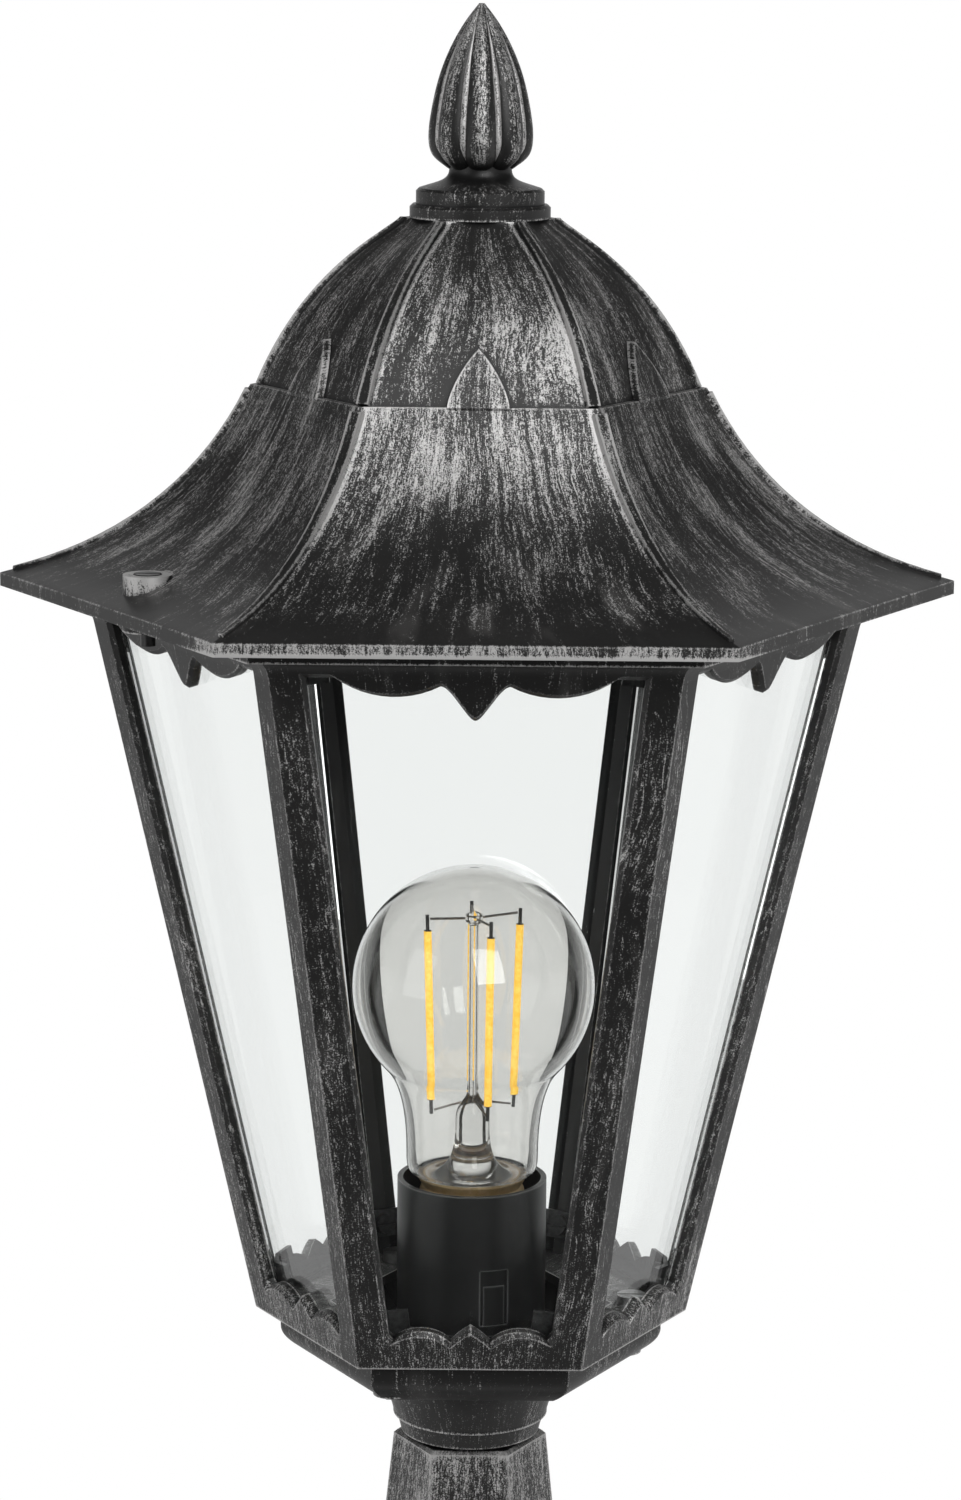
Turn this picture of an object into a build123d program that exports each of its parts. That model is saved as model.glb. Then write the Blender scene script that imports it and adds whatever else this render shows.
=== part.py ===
from build123d import *
import os
from math import acos, atan, cos, radians, sin, sqrt, tan

# Outdoor post light: a hexagonal glazed lantern with a lift-off roof on a short tapered post.
# Millimetres, +Z up. The origin is the middle of the foot's underside, and the front is -Y.
# Hexagon corners stand at 0, 60, 120 ... degrees and face middles at 30, 90, 150 ... degrees.
# A hexagon's "radius" reaches its corners and its "apothem" reaches its faces.

# Heights of the stack, from the ground up
FOOT_HEIGHT = 26.0
POST_HEIGHT = 94.0
NECK_SEAL = 1.0
NECK_HEIGHT = 19.2
TRAY_HEIGHT = 11.0
TRAY_SEAL = 0.8
CAGE_HEIGHT = 181.7
ROOF_SEAL = 1.0
RIM_HEIGHT = 3.2
SKIRT_RISE = 45.5
LEDGE_HEIGHT = 1.0
DOME_RISE = 40.4
COLLAR_HEIGHT = 3.2
FINIAL_HEIGHT = 47.3

# Foot and post
FOOT_RADIUS = 70.0
FOOT_PLATE = 7.0
FOOT_EDGE = 1.6
FOOT_STEP = 4.0
FOOT_RIM_WIDTH = 17.0
FOOT_WEB = 6.0
FOOT_WALL = 5.0
GROUND_BOLT_INSET = 10.6
GROUND_BOLT_HOLE = 3.3
POST_TOP_RADIUS = 19.1
POST_SLOPE = 0.105
POST_EDGE = 0.8
POST_WALL = 3.0
POST_TOP_PLATE = 4.0
POST_BOSS_INSET = 8.5
POST_BOSS_RADIUS = 4.6
POST_BOSS_HEIGHT = 14.0
POST_SCREW_RADIUS = 2.5
POST_SCREW_HEAD_RADIUS = 4.6
POST_SCREW_HEAD = 3.0
POST_SCREW_SOCKET = 3.5
POST_SCREW_REACH = 10.0

# Lantern base: tray and neck
TRAY_INSET = 6.2
TRAY_SIDE = 4.0
TRAY_TUCK = 7.2
TRAY_WALL = 4.0
TRAY_FLOOR = 3.0
NECK_TOP_RADIUS = 27.0
NECK_WAIST_RADIUS = 19.4
NECK_WAIST_HEIGHT = 5.3
NECK_BOTTOM_RADIUS = 17.4
NECK_STEP = 0.9
NECK_SEAL_INSET = 1.2
NECK_HOLLOW_RADIUS = 11.0
NECK_HOLLOW_HEIGHT = 12.0
TRAY_BOSS_INSET = 9.3
TRAY_BOSS_RADIUS = 4.4
TRAY_SCREW_RADIUS = 2.0
TRAY_SCREW_HEAD_RADIUS = 3.6
TRAY_SCREW_HEAD = 2.4
TRAY_SCREW_REACH = 7.0

# Cage and glazing
CAGE_BOTTOM_RADIUS = 54.0
CAGE_TOP_RADIUS = 95.0
CAGE_WALL = 3.2
CAGE_FLOOR = 2.4
CAGE_FLOOR_WIDTH = 17.8
TOP_FLANGE = 2.5
TOP_FLANGE_OVERHANG = 6.2
TOP_FLANGE_LIP = 1.0
TOP_COVE = 5.0
POST_LEG = 8.4
WINDOW_BEVEL = 1.1
RAIL_HEIGHT = 8.9
RAIL_DIP = 1.5
RAIL_INNER_DIP = 2.2
RAIL_LOBE = 0.8
RAIL_PEAK = 1.7
VALANCE_DEPTH = 7.1
VALANCE_LOBE = 4.5
VALANCE_CUSP = 1.9
VALANCE_DROP = 10.0
CORNER_RIB = 3.6
PANE_THICKNESS = 3.0
PANE_GAP = 0.1
PANE_EDGE = 7.0
PANE_FLOOR_GAP = 0.4
PANE_TOP_GAP = 1.6
CLIP_THICKNESS = 1.2
CLIP_HEIGHT = 7.0
CLIP_FLAT = 3.4
CLIP_REACH = 8.4
CLIP_LIFT = 8.0
CLIP_DROP = 8.0
CLIP_SCREW_RADIUS = 1.25
CLIP_SCREW_HEAD_RADIUS = 2.6
CLIP_SCREW_HEAD = 1.8
CLIP_SCREW_REACH = 7.0

# Roof
EAVE_OVERHANG = 21.0
ROOF_WALL = 3.0
SEAT_INSET = 3.2
SEAT_WIDTH = 7.6
CROWN_RADIUS = 55.6
LEDGE_WIDTH = 2.5
LEDGE_CHAMFER = 0.5
CROWN_RING = 5.5
DOME_REBATE = 1.6
DOME_FIT = 0.15
DOME_WALL = 2.6
DOME_TOP_PLATE = 4.0
EDGE_BREAK = 0.7
COLLAR_RADIUS = 16.9
COLLAR_STEP = 1.4
LEAF_HALF_WIDTH = 7.25
LEAF_HEIGHT = 13.0
BATTEN_PROUD = 0.8
BATTEN_WIDTH = 3.4
BATTEN_TIP = 1.4
BOSS_INSET = 12.0
BOSS_RADIUS = 5.8
BOSS_PROUD = 2.4
ROOF_SCREW_RADIUS = 1.75
ROOF_SCREW_HEAD_RADIUS = 3.2
ROOF_SCREW_HEAD = 2.2
ROOF_SCREW_SUNK = 2.0
ROOF_SCREW_REACH = 6.0
EAR_RADIUS = 6.0
RUNNING_FIT = 0.06

# Finial
FINIAL_FLANGE_RADIUS = 15.4
FINIAL_FLANGE = 3.8
FINIAL_NECK_RADIUS = 7.5
FINIAL_NECK_HEIGHT = 8.3
BUD_RADIUS = 12.5
BUD_LOBES = 8
BUD_GROOVE = 0.16
STUD_RADIUS = 3.0
STUD_NUT_FLATS = 5.0
STUD_IN_FINIAL = 13.0
STUD_TAIL = 2.0
BRIDGE_WIDTH = 14.0
BRIDGE_THICKNESS = 3.0
BRIDGE_BEARING = 3.0

# Lampholder
HOLDER_HEIGHT = 39.8
HOLDER_WALL = 2.15
HOLDER_RIM_WALL = 1.4
HOLDER_LATCH = (7.0, 14.0)
HOLDER_LATCH_DEPTH = 0.8
HOLDER_LATCH_ANGLE = -72.0
HOLDER_LATCH_LIFT = 6.8
HOLDER_LATCH_GAP = 0.8
HOLDER_LATCH_SLOT = 4.0
HOLDER_BASE_HEIGHT = 11.0
HOLDER_BASE_FLOOR = 4.0
HOLDER_BASE_WALL = 2.0
CORE_HEIGHT = 5.5
CORE_PROUD = 2.8
CORE_LEDGE = 1.5
CAP_PLAY = 0.65
SCREW_SHELL_WALL = 0.5
SCREW_SHELL_LENGTH = 18.8
SCREW_SHELL_LIP = 0.6
TONGUE_LENGTH = 8.0
TONGUE_WIDTH = 6.0
TONGUE_THICKNESS = 0.5
TONGUE_RISE = 1.5
CONTACT_GAP = 0.3

# Bulb, a 60 mm filament lamp with a 27 mm screw cap
BULB_RADIUS = 30.0
BULB_LENGTH = 103.2
BULB_WALL = 0.9
BULB_NECK_RADIUS = 16.4
BULB_NECK_LEVEL = 30.2
BULB_NECK_LEAD = 13.0
BULB_SHOULDER_ANGLE = -44.0
BULB_SHOULDER_LEAD = 4.0
CAP_CREST_RADIUS = 13.1
CAP_ROOT_RADIUS = 12.3
CAP_PITCH = 3.63
CAP_TURNS = 5
CAP_WALL = 0.6
CAP_RIM_PROUD = 0.6
CAP_RIM = 3.0
CAP_RIM_EDGE = 0.6
CONTACT_RADIUS = 4.6
CONTACT_HEIGHT = 1.6
CONTACT_TAPER = 1.0
INSULATOR_HEIGHT = 2.6
STEM_ROD_RADIUS = 1.2
STEM_HUB = 0.9
STEM_HEADROOM = 11.0
STEM_PRESS_LIFT = 18.8
STEM_PRESS_RADIUS = 4.2
STEM_PRESS_FALL = 5.0
STEM_FLARE_GAP = 0.3
FILAMENT_RADIUS = 0.95
FILAMENT_PIN_RADIUS = 0.45
FILAMENT_PIN = 3.9
FILAMENT_DROP = 0.3
FILAMENT_SAG = 2.6
FILAMENT_RING_TOP = 12.2
FILAMENT_RING_BOTTOM = 10.8
FILAMENT_ANGLES = (20, 93, 200, 290)
LEAD_WIRE_RADIUS = 0.3
LEAD_WIRE_GAP = 0.05
LEAD_WIRE_INSET = 1.0
DRIVER_BOARD = (15.0, 1.4, 16.0)

# Wiring and the tube that ties lantern and post together
TUBE_RADIUS = 5.0
TUBE_BORE = 3.7
TUBE_TAIL = 2.5
NUT_FLATS = 7.0
NUT_HEIGHT = 4.0
WASHER_RADIUS = 9.5
WASHER_THICKNESS = 1.5
FREE_FIT = 0.2
SLOT_WIDTH = 0.8
WIRE_RADIUS = 1.0
WIRE_SPREAD = 1.7
WIRE_BEND = 14.0
WIRE_RISE = 24.0
BLOCK = (22.0, 10.0, 14.0)
BLOCK_PITCH = 7.0
BLOCK_SHIFT = 9.0
BLOCK_SCREW_RADIUS = 1.6
BLOCK_SCREW_LENGTH = 1.8
BLOCK_SCREW_LEVELS = (0.3, 0.7)
BLOCK_GROOVE = (1.2, 3.0)
BLOCK_SOLE = 4.0
FIXING_RADIUS = 1.5
FIXING_HEAD_RADIUS = 2.4
FIXING_HEAD = 1.6
FIXING_REACH = 4.0
GROMMET_RADIUS = 7.0
GROMMET_LIP = 2.0
GROMMET_BORE = 4.5
EARTH_SCREW_SHIFT = 4.0
EARTH_SCREW_RADIUS = 2.0
EARTH_SCREW_HEAD_RADIUS = 3.8
EARTH_SCREW_HEAD = 2.4
EARTH_LOOP = 14.0
EARTH_BEND = 6.0

# Shape constants: curve handles as shares of each curve's width and rise
FOOT_HANDLES = ((0.74, 0.06), (0.07, 0.40))
SKIRT_HANDLES = ((0.076, 0.0385), (0.310, 0.838))
DOME_HANDLES = ((0.36, 0.742), (0.0085, 0.068))
LEAF_HANDLES = ((0.91, 0.35), (0.39, 0.80))
TRAY_HANDLES = ((0.65, 0.34), (0.0, 0.37))
NECK_HANDLES = ((0.13, 0.29), (0.59, 0.29))
COVE_HANDLES = ((0.17, 1.0), (0.36, 0.0))
FINIAL_HANDLES = ((0.62, 0.33), (0.0, 0.62))

# The bud's swell, as shares of its height and of its radius
BUD_SHAPE = (
    (0.0, 0.61), (0.02, 0.70), (0.046, 0.81), (0.085, 0.925), (0.13, 0.98), (0.19, 1.0),
    (0.36, 0.945), (0.55, 0.81), (0.73, 0.595), (0.83, 0.43), (0.94, 0.20), (1.0, 0.05),
)

# Half lengths of the three crossed slabs that make a hexagon, as shares of its apothem.
# They differ, so that no slab ends where another does.
SLAB_REACHES = (1.4, 1.5, 1.6)

# The scallops' places across a window, as shares of its half width
RAIL_PLACES = (0.24, 0.62, 0.94)
VALANCE_PLACES = (0.207, 0.49, 0.83)

# Levels and widths worked out from the sizes above
FLAT = cos(radians(30))
POST_Z = FOOT_HEIGHT
POST_TOP = POST_Z + POST_HEIGHT
NECK_Z = POST_TOP + NECK_SEAL
TRAY_Z = NECK_Z + NECK_HEIGHT
TRAY_TOP = TRAY_Z + TRAY_HEIGHT
CAGE_Z = TRAY_TOP + TRAY_SEAL
CAGE_TOP = CAGE_Z + CAGE_HEIGHT
ROOF_Z = CAGE_TOP + ROOF_SEAL
RIM_TOP = ROOF_Z + RIM_HEIGHT
CROWN_Z = RIM_TOP + SKIRT_RISE
LEDGE_Z = CROWN_Z + LEDGE_HEIGHT
DOME_TOP = LEDGE_Z + DOME_RISE
FINIAL_Z = DOME_TOP + COLLAR_HEIGHT

SCREW_SHELL_BORE = CAP_CREST_RADIUS + CAP_PLAY
SCREW_SHELL_RADIUS = SCREW_SHELL_BORE + SCREW_SHELL_WALL
HOLDER_BASE_RADIUS = SCREW_SHELL_RADIUS + FREE_FIT + HOLDER_BASE_WALL
HOLDER_RADIUS = HOLDER_BASE_RADIUS + HOLDER_WALL
CAP_RIM_RADIUS = CAP_CREST_RADIUS + CAP_RIM_PROUD
BULB_MOUTH_RADIUS = CAP_RIM_RADIUS - CAP_RIM_EDGE

POST_BOTTOM_RADIUS = POST_TOP_RADIUS + POST_SLOPE * POST_HEIGHT
TRAY_RADIUS = CAGE_BOTTOM_RADIUS - TRAY_INSET
EAVE_RADIUS = CAGE_TOP_RADIUS + EAVE_OVERHANG
DOME_RADIUS = CROWN_RADIUS - LEDGE_WIDTH
DOME_TOP_RADIUS = COLLAR_RADIUS + COLLAR_STEP
CAGE_SLOPE = (CAGE_TOP_RADIUS - CAGE_BOTTOM_RADIUS) / CAGE_HEIGHT
FACE_TILT = atan(CAGE_SLOPE * FLAT)
BELOW = 1.0
HALVING_END = 0.001

FACE_ANGLES = [30 + 60 * k for k in range(6)]
CORNER_ANGLES = [60 * k for k in range(6)]
BOSS_ANGLES = (210, 30)

UPRIGHT = (Align.CENTER, Align.CENTER, Align.MIN)


def polar(radius, angle, z=0.0):
    return (radius * cos(radians(angle)), radius * sin(radians(angle)), z)


def line_run(points):
    """Straight edges through points given as (across, up) on the XZ plane."""
    return [Line((a[0], 0, a[1]), (b[0], 0, b[1])) for a, b in zip(points, points[1:])]


def curve(points):
    return Bezier(*[(across, 0, up) for across, up in points])


def shifted(points, across, up):
    return [(p[0] + across, p[1] + up) for p in points]


def sweep_curve(start, end, handles):
    """Control points of a curve whose handles are shares of its width and rise."""
    width = start[0] - end[0]
    rise = end[1] - start[1]
    first, second = handles
    return [
        start,
        (start[0] - first[0] * width, start[1] + first[1] * rise),
        (end[0] + second[0] * width, end[1] - second[1] * rise),
        end,
    ]


def hex_solid(half):
    """The hexagonal solid whose six faces all follow one half outline, axis to axis."""
    half_wire = Wire(half)
    outline = Face(Wire(half_wire.edges() + half_wire.mirror(Plane.YZ).edges()))
    apothem = half_wire.bounding_box().max.X
    slabs = []
    for angle, reach in zip(FACE_ANGLES, SLAB_REACHES):
        slabs.append(Rot(0, 0, angle) * extrude(outline, reach * apothem, both=True))
    return slabs[0] & slabs[1] & slabs[2]


def hex_prism(apothem, bottom, top):
    corners = [polar(apothem / FLAT, angle, bottom) for angle in CORNER_ANGLES]
    return extrude(Face(Wire.make_polygon(corners)), top - bottom, dir=(0, 0, 1))


def hex_ring(inner, outer, bottom, top):
    return hex_prism(outer, bottom, top) - hex_prism(inner, bottom - BELOW, top + BELOW)


def hex_taper(low, bottom, high, top):
    return hex_solid(line_run([(0, bottom), (low, bottom), (high, top), (0, top)]))


def rod(radius, bottom, top, place=(0.0, 0.0)):
    return Pos(place[0], place[1], bottom) * Cylinder(radius, top - bottom, align=UPRIGHT)


def ring(inner, outer, bottom, top, place=(0.0, 0.0)):
    return rod(outer, bottom, top, place) - rod(inner, bottom - BELOW, top + BELOW, place)


def spun(points):
    """A turned solid from a closed outline of (radius, height) points."""
    return revolve(Face(Wire.make_polygon([(r, 0, z) for r, z in points])), Axis.Z)


def hex_nut(bore, flats, bottom, height):
    return hex_prism(flats, bottom, bottom + height) - rod(bore, bottom - BELOW, bottom + height + BELOW)


def pan_screw(shank, reach, head_radius, head, seat, place=(0.0, 0.0)):
    """A slotted screw standing upright with its head on the seat."""
    body = rod(shank, seat - reach, seat, place) + rod(head_radius, seat, seat + head, place)
    groove = Box(3 * head_radius, SLOT_WIDTH, head, align=UPRIGHT)
    return body - Pos(place[0], place[1], seat + head / 2) * groove


def solids_of(shapes):
    return Compound([solid for shape in shapes for solid in shape.solids()])


def cage_radius(z):
    return CAGE_BOTTOM_RADIUS + CAGE_SLOPE * (z - CAGE_Z)


# Foot and post

def make_foot():
    outer = FOOT_RADIUS * FLAT
    top = (POST_BOTTOM_RADIUS + FOOT_STEP) * FLAT
    shoulder = outer - FOOT_RIM_WIDTH
    rise = sweep_curve((shoulder, FOOT_PLATE), (top, FOOT_HEIGHT - FOOT_EDGE), FOOT_HANDLES)
    half = line_run([
        (0, 0), (outer, 0), (outer, FOOT_PLATE - FOOT_EDGE), (outer - FOOT_EDGE, FOOT_PLATE), rise[0],
    ])
    half += [curve(rise)]
    half += line_run([rise[-1], (top - FOOT_EDGE, FOOT_HEIGHT), (0, FOOT_HEIGHT)])
    foot = hex_solid(half)
    hollow = hex_taper(shoulder - FOOT_WALL, -BELOW, top - FOOT_WALL, FOOT_HEIGHT - FOOT_WEB)
    foot = foot - hollow
    for angle in (90, 210, 330):
        place = polar(outer - GROUND_BOLT_INSET, angle)
        foot = foot - rod(GROUND_BOLT_HOLE, -BELOW, FOOT_HEIGHT, place)
    foot = foot - rod(GROMMET_RADIUS, 0, FOOT_HEIGHT + BELOW, (0, -BLOCK_SHIFT))
    for place in post_screw_places():
        foot = foot - rod(POST_SCREW_RADIUS + FREE_FIT, 0, FOOT_HEIGHT + BELOW, place)
    foot = foot - rod(FIXING_RADIUS, FOOT_HEIGHT - FIXING_REACH, FOOT_HEIGHT + BELOW, (0, BLOCK_SHIFT))
    thread_end = FOOT_HEIGHT - FIXING_REACH
    foot = foot - rod(EARTH_SCREW_RADIUS, thread_end, FOOT_HEIGHT + BELOW, earth_screw_place())
    return foot


def post_screw_places():
    radius = POST_BOTTOM_RADIUS - POST_BOSS_INSET
    return [(radius, 0.0), (-radius, 0.0)]


def make_post():
    low = POST_BOTTOM_RADIUS * FLAT
    high = POST_TOP_RADIUS * FLAT
    edge = (POST_TOP_RADIUS + POST_SLOPE * POST_EDGE) * FLAT
    outer = hex_solid(line_run([
        (0, POST_Z), (low, POST_Z), (edge, POST_TOP - POST_EDGE), (high - POST_EDGE, POST_TOP), (0, POST_TOP),
    ]))
    hollow = hex_taper(low - POST_WALL, POST_Z, high - POST_WALL, POST_TOP)
    hollow = hollow & hex_prism(low, POST_Z, POST_TOP - POST_TOP_PLATE)
    post = outer - hollow
    for place in post_screw_places():
        boss = rod(POST_BOSS_RADIUS, POST_Z, POST_Z + POST_BOSS_HEIGHT, place) & outer
        post = post + boss
    for place in post_screw_places():
        post = post - rod(POST_SCREW_RADIUS, POST_Z - BELOW, POST_Z + POST_SCREW_REACH, place)
    return post - rod(TUBE_RADIUS + FREE_FIT, POST_Z, POST_TOP + BELOW)


def make_post_screws():
    seat = FOOT_HEIGHT - FOOT_WEB
    screws = []
    for place in post_screw_places():
        shank = rod(POST_SCREW_RADIUS, seat, POST_Z + POST_SCREW_REACH, place)
        head = rod(POST_SCREW_HEAD_RADIUS, seat - POST_SCREW_HEAD, seat, place)
        socket = Box(POST_SCREW_SOCKET, POST_SCREW_SOCKET, POST_SCREW_HEAD)
        socket = Pos(*place, seat - POST_SCREW_HEAD) * socket
        screws.append(shank + head - socket)
    return solids_of(screws)


def make_grommet():
    low = FOOT_HEIGHT - FOOT_WEB
    lip = GROMMET_RADIUS + GROMMET_LIP
    section = [
        (GROMMET_BORE, low - GROMMET_LIP), (lip, low - GROMMET_LIP), (lip, low), (GROMMET_RADIUS, low),
        (GROMMET_RADIUS, FOOT_HEIGHT), (lip, FOOT_HEIGHT), (lip - GROMMET_LIP / 2, FOOT_HEIGHT + GROMMET_LIP),
        (GROMMET_BORE, FOOT_HEIGHT + GROMMET_LIP), (GROMMET_BORE, low - GROMMET_LIP),
    ]
    return Pos(0, -BLOCK_SHIFT, 0) * spun(section)


# Wiring in the post

def block_screw_places():
    places = []
    for column in (-1, 0, 1):
        for level in BLOCK_SCREW_LEVELS:
            places.append((column * BLOCK_PITCH, FOOT_HEIGHT + level * BLOCK[2]))
    return places


def make_terminal_block():
    block = Pos(0, BLOCK_SHIFT, FOOT_HEIGHT) * Box(*BLOCK, align=UPRIGHT)
    front = BLOCK_SHIFT - BLOCK[1] / 2
    for x, z in block_screw_places():
        hole = Cylinder(BLOCK_SCREW_RADIUS + FREE_FIT, 2 * BLOCK_SCREW_LENGTH)
        hole = Pos(x, front, z) * Rot(90, 0, 0) * hole
        block = block - hole
    top = FOOT_HEIGHT + BLOCK[2]
    groove = Box(BLOCK_GROOVE[0], BLOCK[1] + 2 * BELOW, BLOCK_GROOVE[1])
    for side in (-1, 1):
        block = block - Pos(side * BLOCK_PITCH / 2, BLOCK_SHIFT, top) * groove
    fixing = rod(FIXING_RADIUS + FREE_FIT, FOOT_HEIGHT - BELOW, top + BELOW, (0, BLOCK_SHIFT))
    well = rod(FIXING_HEAD_RADIUS + FREE_FIT, FOOT_HEIGHT + BLOCK_SOLE, top + BELOW, (0, BLOCK_SHIFT))
    return block - fixing - well


def make_terminal_screws():
    front = BLOCK_SHIFT - BLOCK[1] / 2
    screws = []
    for x, z in block_screw_places():
        turn = Pos(x, front + BLOCK_SCREW_LENGTH / 2, z) * Rot(90, 0, 0)
        body = Cylinder(BLOCK_SCREW_RADIUS, BLOCK_SCREW_LENGTH)
        slot = Box(4 * BLOCK_SCREW_RADIUS, SLOT_WIDTH, BLOCK_SCREW_LENGTH / 2)
        slot = Pos(0, 0, BLOCK_SCREW_LENGTH / 2) * slot
        screws.append(turn * (body - slot))
    return solids_of(screws)


def make_terminal_fixing():
    seat = FOOT_HEIGHT + BLOCK_SOLE
    reach = BLOCK_SOLE + FIXING_REACH
    return pan_screw(FIXING_RADIUS, reach, FIXING_HEAD_RADIUS, FIXING_HEAD, seat, (0, BLOCK_SHIFT))


def earth_screw_place():
    """Beside the grommet, clear of its lip."""
    lip = GROMMET_RADIUS + GROMMET_LIP
    return (-(lip + EARTH_SCREW_HEAD_RADIUS + 2 * FREE_FIT), EARTH_SCREW_SHIFT - BLOCK_SHIFT)


def make_earth_screw():
    return pan_screw(
        EARTH_SCREW_RADIUS, FIXING_REACH, EARTH_SCREW_HEAD_RADIUS, EARTH_SCREW_HEAD,
        FOOT_HEIGHT, earth_screw_place(),
    )


def wire(points, bend):
    path = FilletPolyline(*points, radius=bend)
    start = Plane(origin=points[0], z_dir=Vector(*points[1]) - Vector(*points[0]))
    return sweep(start * Circle(WIRE_RADIUS), path=path)


def make_supply_lead(side):
    top = FOOT_HEIGHT + BLOCK[2]
    tube_end = POST_TOP - POST_TOP_PLATE - WASHER_THICKNESS - NUT_HEIGHT - TUBE_TAIL
    x = side * BLOCK_PITCH
    inside = side * WIRE_SPREAD
    points = [
        (x, BLOCK_SHIFT, top), (x, BLOCK_SHIFT, top + WIRE_RISE), (inside, 0, tube_end - WIRE_RISE / 2),
        (inside, 0, CORE_Z),
    ]
    return wire(points, WIRE_BEND)


def make_earth_lead():
    top = FOOT_HEIGHT + BLOCK[2]
    x, y = earth_screw_place()
    head_top = FOOT_HEIGHT + EARTH_SCREW_HEAD
    start_y = BLOCK_SHIFT + FIXING_HEAD_RADIUS + FREE_FIT + WIRE_RADIUS
    points = [(0, start_y, top), (0, start_y, top + EARTH_LOOP), (x, y, top + EARTH_LOOP), (x, y, head_top)]
    return wire(points, EARTH_BEND)


# Lantern base

def tray_boss_places():
    return [polar(TRAY_RADIUS - TRAY_BOSS_INSET, angle)[:2] for angle in (0, 120, 240)]


def make_lantern_base():
    side = TRAY_RADIUS * FLAT
    under = side - TRAY_TUCK * FLAT
    tuck_top = TRAY_TOP - TRAY_SIDE
    half = line_run([(0, TRAY_Z), (under, TRAY_Z)])
    half += [curve(sweep_curve((under, TRAY_Z), (side, tuck_top), TRAY_HANDLES))]
    half += line_run([(side, tuck_top), (side, TRAY_TOP), (0, TRAY_TOP)])
    tray = hex_solid(half)
    floor = TRAY_Z + TRAY_FLOOR
    tray = tray - hex_taper(under - TRAY_WALL, floor, side - TRAY_WALL, TRAY_TOP + BELOW)
    for place in tray_boss_places():
        boss = rod(TRAY_BOSS_RADIUS, TRAY_Z + BELOW, TRAY_TOP, place)
        tray = tray + (boss & hex_prism(side, TRAY_Z, TRAY_TOP))
    waist = NECK_Z + NECK_WAIST_HEIGHT
    flare = curve(sweep_curve((NECK_WAIST_RADIUS, waist), (NECK_TOP_RADIUS, TRAY_Z), NECK_HANDLES))
    bottom = line_run([
        (NECK_TOP_RADIUS, TRAY_Z), (NECK_TOP_RADIUS, TRAY_Z + BELOW), (0, TRAY_Z + BELOW), (0, NECK_Z),
        (NECK_BOTTOM_RADIUS, NECK_Z), (NECK_WAIST_RADIUS - NECK_STEP, waist - NECK_STEP),
        (NECK_WAIST_RADIUS, waist - NECK_STEP), (NECK_WAIST_RADIUS, waist),
    ])
    base = tray + revolve(Face(Wire([flare] + bottom)), Axis.Z)
    base = base - rod(NECK_HOLLOW_RADIUS, NECK_Z - BELOW, NECK_Z + NECK_HOLLOW_HEIGHT)
    base = base - rod(TUBE_RADIUS + FREE_FIT, NECK_Z, TRAY_TOP)
    for place in tray_boss_places():
        base = base - rod(TRAY_SCREW_RADIUS, CAGE_Z + CAGE_FLOOR - TRAY_SCREW_REACH, TRAY_TOP + BELOW, place)
    return base


def make_tray_gasket():
    outer = TRAY_RADIUS * FLAT
    gasket = hex_ring(outer - TRAY_WALL, outer, TRAY_TOP, CAGE_Z)
    for place in tray_boss_places():
        pad = rod(TRAY_BOSS_RADIUS, TRAY_TOP, CAGE_Z, place)
        gasket = gasket + (pad & hex_prism(outer, TRAY_TOP, CAGE_Z))
    for place in tray_boss_places():
        gasket = gasket - rod(TRAY_SCREW_RADIUS + FREE_FIT, TRAY_TOP - BELOW, CAGE_Z + BELOW, place)
    return gasket


def make_tray_screws():
    seat = CAGE_Z + CAGE_FLOOR
    return solids_of([
        pan_screw(TRAY_SCREW_RADIUS, TRAY_SCREW_REACH, TRAY_SCREW_HEAD_RADIUS, TRAY_SCREW_HEAD, seat, place)
        for place in tray_boss_places()
    ])


def make_neck_gasket():
    return ring(NECK_HOLLOW_RADIUS, POST_TOP_RADIUS * FLAT - NECK_SEAL_INSET, POST_TOP, NECK_Z)


# Cage

def face_plane(angle, depth=0.0):
    """A cage face's plane, x across, y up the slope and z outward, sunk by depth into the wall."""
    apothem = CAGE_BOTTOM_RADIUS * FLAT
    outward = Vector(*polar(cos(FACE_TILT), angle, -sin(FACE_TILT)))
    origin = Vector(*polar(apothem, angle, CAGE_Z)) - outward * depth
    return Plane(origin=origin, x_dir=polar(1, angle + 90), z_dir=outward)


def slope(z):
    """Distance up a cage face for a height above the cage's underside."""
    return z / cos(FACE_TILT)


def window_half_width(z, margin):
    return cage_radius(CAGE_Z + z) / 2 - margin


def window_half(grow):
    """Right half of a window's scalloped outline, grown all round, from rail peak to valance drop."""
    ledge = CAGE_HEIGHT - VALANCE_DEPTH + grow
    rail = RAIL_HEIGHT - grow
    low = window_half_width(rail, POST_LEG - grow)
    high = window_half_width(ledge, POST_LEG - grow)
    peak = (0, slope(rail + RAIL_PEAK))
    inner_dip = (RAIL_PLACES[0] * low, slope(rail - RAIL_INNER_DIP))
    lobe = (RAIL_PLACES[1] * low, slope(rail + RAIL_LOBE))
    outer_dip = (RAIL_PLACES[2] * low, slope(rail - RAIL_DIP))
    low_corner = (low, slope(rail))
    high_corner = (high, slope(ledge))
    cusp = (VALANCE_PLACES[0] * high, slope(ledge - VALANCE_CUSP))
    valance_lobe = (VALANCE_PLACES[1] * high, slope(ledge - VALANCE_LOBE))
    ledge_end = (VALANCE_PLACES[2] * high, slope(ledge))
    drop = (0, slope(ledge - VALANCE_DROP))
    flank = (inner_dip[0] / 2, slope(rail))
    return [
        ThreePointArc(peak, flank, inner_dip),
        ThreePointArc(inner_dip, lobe, outer_dip),
        Line(outer_dip, low_corner),
        Line(low_corner, high_corner),
        Line(high_corner, ledge_end),
        ThreePointArc(ledge_end, valance_lobe, cusp),
        Bezier(cusp, (0.68 * cusp[0], cusp[1]), (0.24 * cusp[0], drop[1]), drop),
    ]


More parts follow.
